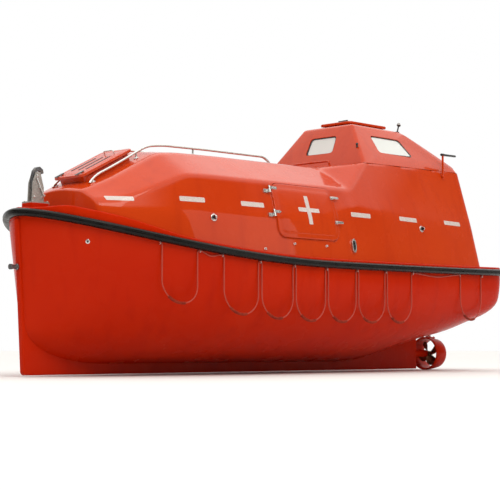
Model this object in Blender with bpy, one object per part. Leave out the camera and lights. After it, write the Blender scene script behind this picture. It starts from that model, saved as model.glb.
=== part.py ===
"""A totally enclosed lifeboat, 6.5 m long, lowered from davits, with a propeller in a steering nozzle.

Metres. +X points to the bow, +Y to port and +Z up. The origin is on the centreline, amidships, at the
waterline. Heights in the tables are measured up from the keel's foot, and up() turns one into a Z.
"""
import math

import bpy
import bmesh
import numpy as np
from mathutils import Matrix, Vector
from mathutils.bvhtree import BVHTree

GAP = 0.0003                # between pieces that touch
DOOR_GAP = 0.006            # round a door leaf or a lid in its opening
DRAFT = 0.62                # waterline above the keel's foot

# Hull
HALF_BEAM = 1.10
MID_X = -0.35               # the widest station
STEM_FOOT_X = 3.156
STEM_RAKE = 0.06            # the stem leans forward by this much for each metre of height
STEM_HEAD_X = 3.24
TRANSOM_X = -3.22
CANOE_FOOT = 0.10           # height of the canoe body's flat bottom
FOREFOOT_TOP = 0.45         # the forefoot is a quarter ellipse from here down to the canoe body's bottom
FOREFOOT_LENGTH = 0.80
LEVEL_TOP = 0.65            # waterlines are level below this height, and follow the sheer above it
SHEER_MID = 1.085           # height of the fender's middle amidships
SHEER_BOW_RISE = 0.40
SHEER_BOW_POWER = 2.3
SHEER_STERN_RISE = 0.042
FENDER_HALF_HEIGHT = 0.038
FENDER_DEPTH = 0.060
FENDER_END_X = -3.10
RIM_RISE = 0.062            # the hull's top edge above the fender's middle
RIM_BOW_RISE = 0.060
SHELL = 0.075               # hull side with its foam core
SOLE = 0.50                 # cabin floor
CAVITY_X = (-2.56, 2.62)
STATIONS = (-3.22, -3.205, -3.17, -3.10, -2.96, -2.80, -2.64, -2.20, -1.60, -0.82, -0.35, 0.35, 1.15, 1.70,
            1.92, 2.20, 2.45, 2.62, 2.78, 2.92, 3.05, 3.14, 3.20, 3.24)
WATERLINES = (0.10, 0.13, 0.19, 0.27, 0.36, 0.46, 0.56, 0.68, 0.84)
# aft end of the waterline at each height, where the bottom sweeps up to the transom
RUN_HEIGHT = (0.10, 0.13, 0.24, 0.35, 0.45, 0.58, 0.64, 0.70, 0.78)
RUN_X = (-1.25, -1.44, -1.78, -2.21, -2.69, -3.03, -3.16, -3.21, -3.22)
# how square the waterline's aft end is at each height
SQUARE_HEIGHT = (0.10, 0.35, 0.50, 0.65, 0.80, 1.00)
SQUARE_POWER = (4.0, 5.0, 7.0, 16.0, 45.0, 60.0)

# Keel fin, stem bar and skeg: one plate under and before the canoe body
FIN_HALF = 0.032
SKEG_END_X = -2.60
FIN_PROUD = 0.020
FIN_TOP = 1.43
FIN_FOOT = 0.035            # radius of the round where the stem meets the keel

# Propeller and steering nozzle
SHAFT_HEIGHT = 0.180
NOZZLE_X = -2.87            # the nozzle's stock and the propeller's disc
NOZZLE_FORE, NOZZLE_AFT = 0.095, -0.125
NOZZLE_OUTER_FORE, NOZZLE_OUTER_AFT = 0.195, 0.172
NOZZLE_INNER_FORE, NOZZLE_INNER_AFT = 0.178, 0.160
PROPELLER_RADIUS = 0.150
BLADES = 4
HUB_RADIUS = 0.030
SHAFT_RADIUS = 0.016
SHAFT_CLEARANCE = 0.0025
BOSS_RADIUS = 0.042
BOSS_END_X = NOZZLE_X + 0.062
STOCK_RADIUS = 0.028
STOCK_CLEARANCE = 0.003
STOCK_TOP = 0.640

# Canopy: one row for each station, from the bow aft. "in" columns are measured inboard from the sheer's plan.
CANOPY_WALL = 0.045
CANOPY_BASE_IN = 0.035
CANOPY_FRONT_X = 2.78
CANOPY_AFT_X = -2.64
#                  x     side in  side h  crease in  crease h  edge y  edge h  top h
CANOPY_SECTIONS = (
    (2.78, 0.045, 1.560, 0.095, 1.610, 0.340, 1.695, 1.735),
    (2.62, 0.042, 1.550, 0.092, 1.625, 0.380, 1.765, 1.805),
    (2.45, 0.040, 1.520, 0.090, 1.655, 0.415, 1.840, 1.880),
    (2.20, 0.040, 1.500, 0.105, 1.765, 0.435, 1.970, 2.012),
    (1.92, 0.050, 1.500, 0.130, 1.878, 0.450, 2.112, 2.160),
    (1.70, 0.060, 1.500, 0.150, 1.885, 0.460, 2.135, 2.190),
    (1.15, 0.070, 1.500, 0.180, 1.885, 0.480, 2.145, 2.200),
    (0.35, 0.075, 1.500, 0.200, 1.890, 0.490, 2.150, 2.205),
    (-0.35, 0.110, 1.700, 0.200, 1.900, 0.500, 2.155, 2.210),
)
# Aft of this the sides run straight up to the tower's knuckle
TOWER_FRONT_X = -0.82
KNUCKLE_FRONT = (0.72, 2.240)       # half-breadth and height
KNUCKLE_AFT = (0.62, 2.285)
FLANK_SIDE_FRONT = (0.985, 1.660)
FLANK_SIDE_AFT = (0.815, 1.635)
ROOF_FRONT_X, ROOF_AFT_X = -1.048, -1.950
ROOF_HALF, ROOF_FRONT_H, ROOF_AFT_H = 0.358, 2.727, 2.720
TAIL = (0.55, 2.364)                # the roof's after corner, over the canopy's after face
TOWER_WALL = 0.040

# Windows in the tower: where the pane's corners lie
FRONT_PANE = ((-0.20, 2.400), (0.20, 2.400), (0.19, 2.600), (-0.19, 2.600))                # y, height
SIDE_PANE = ((-1.230, 2.400), (-1.840, 2.410), (-1.760, 2.605), (-1.250, 2.605))           # x, height
AFT_PANE = ((-2.14, 0.24), (-2.14, -0.24), (-2.42, -0.28), (-2.42, 0.28))                  # x, y
PANE_THICK = 0.006
PANE_GAP = 0.0008

# Side doors, hinged at their forward edge
DOOR_X = (-0.04, 0.86)
DOOR_H = (1.330, 1.872)
DOOR_CORNER = 0.10
DOOR_PROUD = 0.014
DOOR_INNER = -0.040
DOOR_CUT = 0.15             # how far the cut for a door runs in and out from the canopy's side
HINGE_X = 0.895
HINGE_HEIGHTS = (1.56, 1.80)
HINGE_OUT = 0.030
BARREL_RADIUS = 0.011
BARREL_LENGTH = 0.036
DOG_HEIGHTS = (1.52, 1.77)

# Forward hatch on the sloping front, hinged at its upper edge
FRONT_HATCH_X = (2.64, 2.02)
FRONT_HATCH_HALF = 0.225
FRONT_HATCH_RISE = 0.070    # the lid's outer face above the canopy
FRONT_HATCH_THICK = 0.030
FRONT_COAMING_IN = 0.030
FRONT_HINGE_LIFT = 0.0019   # the canopy under the hinge above the line between the hatch's ends

# Roof hatch, hinged at its after edge
ROOF_HATCH_X = (-1.169, -1.829)
ROOF_HATCH_HALF = 0.228
ROOF_LID_UNDER = 2.757
ROOF_LID_TOP = 2.787
ROOF_COAMING_IN = 0.030
ROOF_COAMING_WALL = 0.020

# After hatch in the canopy's after face, hinged on its starboard side
AFT_HATCH_HALF = 0.25
AFT_HATCH_H = (1.565, 2.06)
AFT_HATCH_OUT = 0.014
AFT_HATCH_IN = 0.030
AFT_HATCH_CORNER = 0.055
AFT_HINGE_HEIGHTS = (1.66, 1.92)

# A lid's hinge: a bracket with the middle barrel, between two lugs on the lid
LID_BARREL_RADIUS = 0.010
LID_BRACKET_HALF = 0.080
LID_LUG_END = 0.130
LID_HINGE_OUT = 0.016       # from the lid's edge to the hinge line
LID_PLATE_THICK = 0.006

# Release hooks on the decks
HOOK_FORE_X, HOOK_AFT_X = 3.045, -2.90
HOOK_CHEEK_GAP = 0.024      # half the space between the two cheeks
HOOK_CHEEK_THICK = 0.012
HOOK_HALF_THICK = 0.017
HOOK_PIN_RADIUS = 0.012
HOOK_PIN_CLEARANCE = 0.0009
HOOK_PIN_AFT = 0.020        # the pin aft of the hook's station
HOOK_PIN_UP = 0.150         # the pin above the deck
HOOK_CHEEK_TOP = 0.290
HOOK_BASE_AFT, HOOK_BASE_FORE = 0.11, 0.09

# Rails
RAIL_RADIUS = 0.0125
RAIL_Y = 0.275
RAIL_RISE = 0.075
POST_FOOT = 0.020
ROPE_RADIUS = 0.006

# Lifeline: its beckets, and how deep the loop aft of each hangs, where no depth means a short bight
BECKETS = (2.27, 1.87, 1.62, 1.16, 0.70, 0.23, -0.24, -0.71, -1.18, -2.10, -2.60)
LOOP_DEPTH = (0.52, 0.0, 0.53, 0.53, 0.53, 0.53, 0.53, 0.53, 0.0, 0.50)
BECKET_DROP = 0.0065        # below the fender
SHORT_BIGHT = 0.03

# Small fittings
STEM_FITTING_H = 0.985
SIDE_EYES = (("fore", 1.66, 1.478), ("aft", -1.53, 1.548))      # place, x, height
VENT_PLACE = (-0.25, 1.295)                                     # x, height
LAMP_PLACE = (-1.92, 0.30)                                      # x, y
AERIAL_X = -2.28
AERIAL_LEAN = 0.0033        # the post clears the canopy's side by this much at its foot, to touch it higher up
BAR_FOOT = 0.0023           # the grab bar's foot above the roof there, on the centre of its tube

COLOURS = {                 # red, green, blue, roughness, metallic
    "hull_red": (0.53, 0.030, 0.012, 0.22, 0.0),
    "canopy_orange": (0.68, 0.075, 0.022, 0.22, 0.0),
    "rubber": (0.018, 0.018, 0.020, 0.55, 0.0),
    "steel": (0.55, 0.55, 0.54, 0.30, 1.0),
    "bronze": (0.30, 0.20, 0.12, 0.35, 1.0),
    "glass": (0.70, 0.80, 0.80, 0.05, 0.0),
    "liner": (0.72, 0.70, 0.66, 0.45, 0.0),
    "rope": (0.62, 0.12, 0.05, 0.80, 0.0),
    "grey_paint": (0.16, 0.19, 0.18, 0.50, 0.0),
    "black_plastic": (0.025, 0.025, 0.027, 0.45, 0.0),
}


def up(height):
    return height - DRAFT


# Meshes

def material(name):
    found = bpy.data.materials.get(name)
    if found:
        return found
    red, green, blue, roughness, metallic = COLOURS[name]
    made = bpy.data.materials.new(name)
    made.use_nodes = True
    shader = made.node_tree.nodes["Principled BSDF"]
    shader.inputs["Base Color"].default_value = (red, green, blue, 1.0)
    shader.inputs["Roughness"].default_value = roughness
    shader.inputs["Metallic"].default_value = metallic
    return made


def add(name, points, faces, finish, smooth=False, flat=False):
    """A mesh object from points and faces, its faces pointing out, made into flat triangles if asked."""
    mesh = bpy.data.meshes.new(name)
    mesh.from_pydata([tuple(point) for point in points], [], faces)
    work = bmesh.new()
    work.from_mesh(mesh)
    bmesh.ops.recalc_face_normals(work, faces=work.faces)
    if flat:
        bmesh.ops.triangulate(work, faces=work.faces)
    work.to_mesh(mesh)
    work.free()
    if smooth:
        mesh.shade_smooth()
        mesh.set_sharp_from_angle(angle=math.radians(35))
    mesh.materials.append(material(finish))
    made = bpy.data.objects.new(name, mesh)
    bpy.context.scene.collection.objects.link(made)
    return made


def loft(name, loops, finish, closed=False, smooth=False, flat=False):
    """A solid through loops of equal length, with its ends capped, or joined into a ring when closed."""
    count = len(loops[0])
    points = [point for loop in loops for point in loop]
    faces = []
    for i in range(len(loops) if closed else len(loops) - 1):
        a, b = i * count, (i + 1) % len(loops) * count
        for j in range(count):
            k = (j + 1) % count
            faces.append((a + j, a + k, b + k, b + j))
    if not closed:
        faces.append(tuple(range(count)))
        faces.append(tuple(range(len(points) - count, len(points))))
    return add(name, points, faces, finish, smooth, flat)


def box(name, low, high, finish):
    (x0, y0, z0), (x1, y1, z1) = low, high
    lower = [(x0, y0, z0), (x1, y0, z0), (x1, y1, z0), (x0, y1, z0)]
    upper = [(x, y, z1) for x, y, _ in lower]
    return loft(name, [lower, upper], finish)


def prism(name, outline, axis, low, high, finish):
    """An outline in the plane across an axis, drawn along it from low to high."""
    def place(a, b, along):
        return {"x": (along, a, b), "y": (a, along, b), "z": (a, b, along)}[axis]
    ends = [[place(a, b, along) for a, b in outline] for along in (low, high)]
    return loft(name, ends, finish)


def tube(name, route, radius, finish, sides=8):
    """A round tube along a route of points."""
    route = [Vector(point) for point in route]
    loops = []
    side = None
    for i, point in enumerate(route):
        before = route[max(i - 1, 0)]
        after = route[min(i + 1, len(route) - 1)]
        ahead = (after - before).normalized()
        if side is None:
            side = ahead.orthogonal().normalized()
        side = (side - ahead * side.dot(ahead)).normalized()
        other = ahead.cross(side)
        turns = [2 * math.pi * (k + 0.5) / sides for k in range(sides)]
        loops.append([point + (side * math.cos(turn) + other * math.sin(turn)) * radius for turn in turns])
    return loft(name, loops, finish, smooth=True)


def turned(name, profile, start, axis, finish, sides=24):
    """A round solid: the profile gives distances along the axis from the start, and radii."""
    axis = Vector(axis).normalized()
    side = axis.orthogonal().normalized()
    other = axis.cross(side)
    loops = []
    for along, radius in profile:
        centre = Vector(start) + axis * along
        turns = [2 * math.pi * k / sides for k in range(sides)]
        loops.append([centre + (side * math.cos(turn) + other * math.sin(turn)) * radius for turn in turns])
    return loft(name, loops, finish, smooth=True)


def combine(made, other, operation):
    """Cuts, joins or intersects the first object with the second, which is then removed."""
    change = made.modifiers.new(operation.lower(), "BOOLEAN")
    change.operation = operation
    change.object = other
    graph = bpy.context.evaluated_depsgraph_get()
    mesh = bpy.data.meshes.new_from_object(made.evaluated_get(graph))
    made.modifiers.clear()
    old = made.data
    made.data = mesh
    mesh.name = made.name
    bpy.data.meshes.remove(old)
    bpy.data.objects.remove(other)
    return made


def cut(made, *cutters):
    for cutter in cutters:
        combine(made, cutter, "DIFFERENCE")
    return made


def join(made, *others):
    for other in others:
        combine(made, other, "UNION")
    return made


def mirrored(made, name):
    """A copy of an object on the other side of the centreline."""
    points = [(v.co.x, -v.co.y, v.co.z) for v in made.data.vertices]
    faces = [tuple(face.vertices) for face in made.data.polygons]
    return add(name, points, faces, made.data.materials[0].name, made.data.polygons[0].use_smooth)


def set_origin(made, point):
    """Puts an object's origin on its joint's axis without moving its mesh."""
    made.data.transform(Matrix.Translation(-Vector(point)))
    made.location = point


def rounded(x0, x1, h0, h1, radius, steps=4):
    """A rectangle's outline with its four corners rounded."""
    outline = []
    for corner_x, corner_h, start in ((x1, h0, -90), (x1, h1, 0), (x0, h1, 90), (x0, h0, 180)):
        centre_x = corner_x - radius if corner_x == x1 else corner_x + radius
        centre_h = corner_h - radius if corner_h == h1 else corner_h + radius
        for k in range(steps + 1):
            turn = math.radians(start + 90 * k / steps)
            outline.append((centre_x + radius * math.cos(turn), centre_h + radius * math.sin(turn)))
    return outline


# Hull form

def sheer_curve(x):
    """Height of the fender's middle."""
    if x > 0:
        return SHEER_MID + SHEER_BOW_RISE * (x / STEM_HEAD_X) ** SHEER_BOW_POWER
    return SHEER_MID + SHEER_STERN_RISE * (x / TRANSOM_X) ** 2


def rim_curve(x):
    """Height of the hull's top edge and decks."""
    share = min(max((x - 1.9) / 0.8, 0.0), 1.0)
    return sheer_curve(x) + RIM_RISE + RIM_BOW_RISE * share * share * (3 - 2 * share)


def sheer_height(x):
    return float(np.interp(x, STATIONS, [sheer_curve(s) for s in STATIONS]))


def rim_height(x):
    return float(np.interp(x, STATIONS, [rim_curve(s) for s in STATIONS]))


def forward_end(height):
    """Where a waterline meets the stem, or the round of the forefoot below it."""
    stem = STEM_FOOT_X + STEM_RAKE * height
    if height >= FOREFOOT_TOP:
        return min(stem, STEM_HEAD_X)
    drop = (FOREFOOT_TOP - height) / (FOREFOOT_TOP - CANOE_FOOT)
    return stem - FOREFOOT_LENGTH * (1 - math.sqrt(max(1 - drop * drop, 0.0)))


def waterline_breadth(height):
    """Greatest half-breadth of the waterline at this height amidships: the midship section's round bilge."""
    share = min((height - CANOE_FOOT + 0.012) / (SHEER_MID - CANOE_FOOT), 1.0)
    return HALF_BEAM * math.sqrt(1 - (1 - share) ** 2.8)


def waterline_point(height, station):
    """The point of the waterline that is this high amidships, on the column of a station at the sheer."""
    fender_foot = SHEER_MID - FENDER_HALF_HEIGHT
    lift = max(0.0, (height - LEVEL_TOP) / (fender_foot - LEVEL_TOP))
    at_station = height + lift * (sheer_height(station) - SHEER_MID)
    at_stem = height + lift * (sheer_height(STEM_HEAD_X) - SHEER_MID)
    rise = min((height - CANOE_FOOT) / (fender_foot - CANOE_FOOT), 1.0)
    breadth = waterline_breadth(height + lift * FENDER_HALF_HEIGHT)
    if station >= MID_X:
        end = STEM_HEAD_X if lift >= 1 else forward_end(at_stem)
        share = (station - MID_X) / (STEM_HEAD_X - MID_X)
        fullness, root = 2.4 + 1.0 * rise, 0.85 - 0.25 * rise
        taper = max(1 - share ** fullness, 0.0) ** root
    else:
        end = float(np.interp(height, RUN_HEIGHT, RUN_X))
        share = (MID_X - station) / (MID_X - TRANSOM_X)
        square = float(np.interp(height, SQUARE_HEIGHT, SQUARE_POWER))
        root = 1 / (2.0 + rise)
        taper = (1 - 0.19 * share ** 2) * max(1 - share ** square, 0.0) ** root
    return MID_X + share * (end - MID_X), breadth * taper, at_station


def sheer_breadth(x):
    """Half-breadth of the hull at the fender, straight from station to station."""
    fender_foot = SHEER_MID - FENDER_HALF_HEIGHT
    return float(np.interp(x, STATIONS, [waterline_point(fender_foot, s)[1] for s in STATIONS]))


def ring(height, rim=False):
    """One closed waterline, from the transom along the port side to the stem and back."""
    port = []
    for station in STATIONS:
        x, y, at = waterline_point(height, station)
        port.append((x, y, up(rim_height(station) if rim else at)))
    starboard = [(x, -y, z) for x, y, z in reversed(port[1:-1])]
    return port + starboard


def hull_outside():
    fender_foot = SHEER_MID - FENDER_HALF_HEIGHT
    rings = [ring(height) for height in WATERLINES] + [ring(fender_foot), ring(fender_foot, rim=True)]
    count = len(rings[0])
    last = len(STATIONS) - 1
    points = [point for loop in rings for point in loop]
    faces = []
    for i in range(len(rings) - 1):
        for j in range(count):
            k = (j + 1) % count
            faces.append((i * count + j, i * count + k, (i + 1) * count + k, (i + 1) * count + j))
    for base in (0, (len(rings) - 1) * count):      # the bottom and the decks, as strips from side to side
        for j in range(last):
            port, ahead = base + j, base + j + 1
            faces.append([port, ahead] + [base + (count - k) % count for k in (j + 1, j) if 0 < k < last])
    return add("hull", points, faces, "hull_red", flat=True)


def side_of(tree, x, height):
    """Half-breadth of a shape at a point of its port side."""
    hit = tree.ray_cast(Vector((x, 3.0, up(height))), Vector((0, -1, 0)))[0]
    return hit.y


def stand_on_side(made, tree, x, height):
    """Turns a piece modelled about its own origin, its foot facing -Y, to stand on a shape's port side."""
    point, normal, _, _ = tree.ray_cast(Vector((x, 3.0, up(height))), Vector((0, -1, 0)))
    along = Vector((0, 0, 1)).cross(normal).cross(normal).normalized() * -1
    turn = Matrix((normal.cross(along), normal, along)).transposed().to_4x4()
    made.data.transform(Matrix.Translation(point + normal * GAP) @ turn)
    return made


def surface_over(tree, x, y):
    """Z of a shape's outside under a point above it."""
    return tree.ray_cast(Vector((x, y, 4.0)), Vector((0, 0, -1)))[0].z


def tree_of(made):
    work = bmesh.new()
    work.from_mesh(made.data)
    tree = BVHTree.FromBMesh(work)
    work.free()
    return tree


def cabin_well(tree):
    """The space inside the hull, above the cabin floor."""
    stations = [CAVITY_X[0]] + [s for s in STATIONS if CAVITY_X[0] < s < CAVITY_X[1]] + [CAVITY_X[1]]
    loops = []
    for x in stations:
        rim = rim_height(x)
        heights = (SOLE, 0.66, 0.86, sheer_height(x))
        side = [(side_of(tree, x, height) - SHELL, up(height)) for height in heights]
        side.append((side[-1][0], up(rim) + 0.1))
        loops.append([(x, y, z) for y, z in side] + [(x, -y, z) for y, z in reversed(side)])
    return loft("cabin_well", loops, "liner", flat=True)


def fin_front(height):
    """Where the plate's straight forward edge is, above the round of its foot."""
    share = (height - FIN_FOOT) / (FIN_TOP - FIN_FOOT)
    return STEM_FOOT_X + FIN_PROUD + share * STEM_RAKE * FIN_TOP


def fin():
    """Stem bar, keel and skeg, as one plate whose upper edge lies inside the hull."""
    round_x = fin_front(FIN_FOOT) - FIN_FOOT
    outline = [(SKEG_END_X, 0.0)]
    for k in range(5):
        turn = math.radians(-90 + 90 * k / 4)
        outline.append((round_x + FIN_FOOT * math.cos(turn), FIN_FOOT + FIN_FOOT * math.sin(turn)))
    outline += [(fin_front(FIN_TOP), FIN_TOP), (fin_front(FIN_TOP) - 0.12, FIN_TOP), (2.98, 0.60), (2.30, 0.20),
                (-1.10, 0.20), (-1.80, 0.33), (-2.30, 0.47), (SKEG_END_X, 0.56)]
    return prism("fin", [(x, up(h)) for x, h in outline], "y", -FIN_HALF, FIN_HALF, "hull_red")


def make_hull():
    hull = hull_outside()
    tree = tree_of(hull)
    axle = (BOSS_END_X, 0, up(SHAFT_HEIGHT))
    ahead = (1, 0, 0)
    boss_profile = ((0.0, BOSS_RADIUS), (0.10, BOSS_RADIUS), (0.42, 0.012))
    bore_radius = SHAFT_RADIUS + SHAFT_CLEARANCE
    boss = turned("boss", boss_profile, axle, ahead, "hull_red", 16)
    bore = turned("bore", ((-0.01, bore_radius), (0.12, bore_radius)), axle, ahead, "steel", 16)
    hole_radius = STOCK_RADIUS + STOCK_CLEARANCE
    hole_foot = 0.30
    hole_profile = ((0.0, hole_radius), (STOCK_TOP - hole_foot + GAP, hole_radius))
    stock_hole = turned("stock_hole", hole_profile, (NOZZLE_X, 0, up(hole_foot)), (0, 0, 1), "steel", 16)
    join(hull, fin(), boss)
    cut(hull, cabin_well(tree), bore, stock_hole)


# Canopy form

def canopy_side(x):
    """Half-section of the canopy at x, as half-breadths and heights from the rim up to the centreline."""
    rim = rim_height(x)
    plan = sheer_breadth(x)
    if x >= CANOPY_SECTIONS[-1][0]:
        columns = list(zip(*reversed(CANOPY_SECTIONS)))
        side_in, side_h, crease_in, crease_h, edge_y, edge_h, top_h = (float(np.interp(x, columns[0], c))
                                                                       for c in columns[1:])
        return [(plan - CANOPY_BASE_IN, rim), (plan - side_in, side_h), (plan - crease_in, crease_h),
                (edge_y, edge_h), (0.0, top_h)]
    share = (TOWER_FRONT_X - x) / (TOWER_FRONT_X - CANOPY_AFT_X)

    def between(front, aft):
        return tuple(a + share * (b - a) for a, b in zip(front, aft))
    side = between(FLANK_SIDE_FRONT, FLANK_SIDE_AFT)
    knuckle = between(KNUCKLE_FRONT, KNUCKLE_AFT)
    middle = tuple((a + b) / 2 for a, b in zip(side, knuckle))
    return [(plan - CANOPY_BASE_IN, rim), side, middle, knuckle, (0.0, knuckle[1])]


def canopy_y(x, height):
    """Half-breadth of the canopy's outside at a point of its side, between the stations that are given."""
    stations = sorted(s for s in STATIONS if CANOPY_AFT_X <= s <= CANOPY_FRONT_X)
    near = [s for s in stations if s <= x][-1]
    far = [s for s in stations if s >= x][0]
    values = []
    for station in (near, far):
        side = canopy_side(station)
        values.append(float(np.interp(height, [h for _, h in side], [y for y, _ in side])))
    share = 0.0 if far == near else (x - near) / (far - near)
    return values[0] + share * (values[1] - values[0])


def canopy_solid(name, inset, drop):
    """The canopy's outside, or the space inside it when inset, open or closed below by the drop."""
    stations = [s for s in reversed(STATIONS) if CANOPY_AFT_X <= s <= CANOPY_FRONT_X]
    points, faces, rows = [], [], []
    for station in stations:
        x = min(max(station, CANOPY_AFT_X + inset), CANOPY_FRONT_X - inset)
        side = []
        for i, (y, h) in enumerate(canopy_side(station)):
            side.append((max(y - inset, 0.0), h - (inset if i else drop)))
        row = []
        for y, h in side:
            row.append(len(points))
            points.append((x, y, up(h) + GAP))
        for y, h in reversed(side[:-1]):
            row.append(len(points))
            points.append((x, -y, up(h) + GAP))
        rows.append(row)
    count = len(rows[0])
    ramp = stations.index(CANOPY_SECTIONS[-1][0])
    for i in range(len(rows) - 1):
        a, b = rows[i], rows[i + 1]
        for j in range(count):
            k = (j + 1) % count
            if i == ramp and j in (1, 2, 5, 6):
                continue
            faces.append((a[j], a[k], b[k], b[j]))
        if i == ramp:           # the tower's corner springs from the canopy's side up to the knuckle
            for side, bend, crease, edge in ((1, 2, 2, 3), (7, 6, 6, 5)):
                faces += [(a[side], b[side], b[bend]), (a[side], b[bend], b[edge]),
                          (a[side], b[edge], a[crease]), (a[crease], b[edge], a[edge])]
    faces += [tuple(rows[0]), tuple(rows[-1])]
    return add(name, points, faces, "canopy_orange", flat=True)


def door_outline(grow):
    return rounded(DOOR_X[0] - grow, DOOR_X[1] + grow, DOOR_H[0] - grow, DOOR_H[1] + grow, DOOR_CORNER + grow)


def door_cutter(grow):
    """The port door's space, whose sides run square to the hinge line, the way the leaf goes out."""
    outward = side_frame(HINGE_X, DOOR_H[1])[2]
    outline = [Vector((x, canopy_y(x, h), up(h))) for x, h in door_outline(grow)]
    ends = [[point + outward * away for point in outline] for away in (-DOOR_CUT, DOOR_CUT)]
    return loft("cutter", ends, "canopy_orange", flat=True)


def slope_top(x):
    """A point of the canopy's middle line on its sloping front."""
    columns = list(zip(*reversed(CANOPY_SECTIONS)))
    return Vector((x, 0, up(float(np.interp(x, columns[0], columns[-1])))))


def slope_normal():
    """Square to the forward hatch's coaming, which is flat between its two ends."""
    run = slope_top(FRONT_HATCH_X[0]) - slope_top(FRONT_HATCH_X[1])
    return run.cross(Vector((0, 1, 0))).normalized()


def slope_point(x, out):
    """A point in the middle of the forward hatch, out from the line between its ends."""
    fore, aft = slope_top(FRONT_HATCH_X[0]), slope_top(FRONT_HATCH_X[1])
    return aft + (fore - aft) * (x - aft.x) / (fore.x - aft.x) + slope_normal() * out


def slope_box(name, x_low, x_high, half, low, high, finish):
    """A block on the sloping front, between two distances out from it."""
    loops = []
    for out in (low, high):
        corners = ((x_low, -half), (x_low, half), (x_high, half), (x_high, -half))
        loops.append([slope_point(x, out) + Vector((0, y, 0)) for x, y in corners])
    return loft(name, loops, finish)


def make_canopy():
    canopy = canopy_solid("canopy", 0.0, 0.0)
    tree = tree_of(canopy)
    coaming_under = FRONT_HATCH_RISE - FRONT_HATCH_THICK - GAP
    fore, aft = FRONT_HATCH_X[0] - FRONT_COAMING_IN, FRONT_HATCH_X[1] + FRONT_COAMING_IN
    half = FRONT_HATCH_HALF - FRONT_COAMING_IN
    join(canopy, slope_box("coaming", fore, aft, half, -0.02, coaming_under, "canopy_orange"))
    inside = canopy_solid("inside", CANOPY_WALL, 0.2)
    well = prism("well", tower_well_outline(), "z", up(2.05), up(2.60), "liner")
    ring_in = 0.035
    hatch_way = slope_box("hatch_way", fore - ring_in, aft + ring_in, half - ring_in, -0.25, 0.10, "liner")
    cut(canopy, inside, well, hatch_way)
    way = door_cutter(DOOR_GAP)
    cut(canopy, mirrored(way, "other_way"), way)
    half = AFT_HATCH_HALF + DOOR_GAP
    aft_way = rounded(-half, half, AFT_HATCH_H[0] - DOOR_GAP, AFT_HATCH_H[1] + DOOR_GAP, AFT_HATCH_CORNER)
    aft_way = [(y, up(h)) for y, h in aft_way]
    cut(canopy, prism("aft_way", aft_way, "x", CANOPY_AFT_X - 0.1, CANOPY_AFT_X + 0.15, "liner"))
    return tree


# Tower

def tower_corners(inset, floor):
    """The tower's ten corners: knuckle fore and aft, roof fore and aft, tail, on each side."""
    half = inset * 1.1
    fore = (TOWER_FRONT_X - inset * 1.2, KNUCKLE_FRONT[0] - half, up(KNUCKLE_FRONT[1]) + floor)
    roof_fore = (ROOF_FRONT_X - inset * 0.6, ROOF_HALF - inset * 0.6, up(ROOF_FRONT_H) - inset)
    roof_aft = (ROOF_AFT_X + inset * 0.3, ROOF_HALF - inset * 0.6, up(ROOF_AFT_H) - inset)
    tail = (CANOPY_AFT_X + inset, TAIL[0] - inset, up(TAIL[1]) - inset * 1.1)
    aft = (CANOPY_AFT_X + inset, KNUCKLE_AFT[0] - half, up(KNUCKLE_AFT[1]) + floor)
    return [fore, roof_fore, roof_aft, tail, aft]


def tower_solid(name, inset, floor):
    port = tower_corners(inset, floor)
    points = port + [(x, -y, z) for x, y, z in port]
    faces = []
    for base in (0, 5):
        faces += [(base, base + 1, base + 2), (base, base + 2, base + 4), (base + 2, base + 3, base + 4)]
    faces += [(0, 5, 6, 1), (1, 6, 7, 2), (2, 7, 8, 3), (3, 8, 9, 4), (4, 9, 5, 0)]
    return add(name, points, faces, "canopy_orange")


def tower_well_outline():
    """The hole in the canopy under the tower."""
    inset = TOWER_WALL + 0.012
    fore = (TOWER_FRONT_X - inset, KNUCKLE_FRONT[0] - inset)
    aft = (CANOPY_AFT_X + inset, KNUCKLE_AFT[0] - inset)
    return [fore, aft, (aft[0], -aft[1]), (fore[0], -fore[1])]


def on_plane(corners, a, b, axes):
    """The point of a plane through three corners whose two named coordinates are given."""
    p, q, r = (Vector(corner) for corner in corners)
    normal = (q - p).cross(r - p)
    free = ({0, 1, 2} - set(axes)).pop()
    point = Vector((0, 0, 0))
    point[axes[0]], point[axes[1]] = a, b
    point[free] = (normal.dot(p) - sum(normal[i] * point[i] for i in axes)) / normal[free]
    return point


def tower_panes():
    """Each pane's name, its four corners on the tower's outside and the outward normal there."""
    fore, roof_fore, roof_aft, tail, _ = tower_corners(0.0, 0.0)
    front = (fore, roof_fore, (fore[0], -fore[1], fore[2]))
    after = (roof_aft, tail, (tail[0], -tail[1], tail[2]))
    flank = (fore, roof_fore, roof_aft)
    front_corners = [on_plane(front, y, up(h), (1, 2)) for y, h in FRONT_PANE]
    port_corners = [on_plane(flank, x, up(h), (0, 2)) for x, h in SIDE_PANE]
    starboard_corners = [Vector((c.x, -c.y, c.z)) for c in port_corners]
    aft_corners = [on_plane(after, x, y, (0, 1)) for x, y in AFT_PANE]
    panes = (
        ("window_front", front_corners, Vector((1, 0, 0.4))),
        ("window_port", port_corners, Vector((0, 1, 0.7))),
        ("window_aft", aft_corners, Vector((-0.5, 0, 1))),
        ("window_starboard", starboard_corners, Vector((0, -1, 0.7))),
    )
    solved = []
    for name, corners, outward in panes:
        normal = (corners[1] - corners[0]).cross(corners[2] - corners[0]).normalized()
        solved.append((name, corners, normal if normal.dot(outward) > 0 else -normal))
    return solved


def pane_block(name, corners, normal, grow, low, high, finish):
    centre = sum(corners, Vector()) / len(corners)
    spread = [c + (c - centre).normalized() * grow for c in corners]
    return loft(name, [[c + normal * low for c in spread], [c + normal * high for c in spread]], finish)


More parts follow.
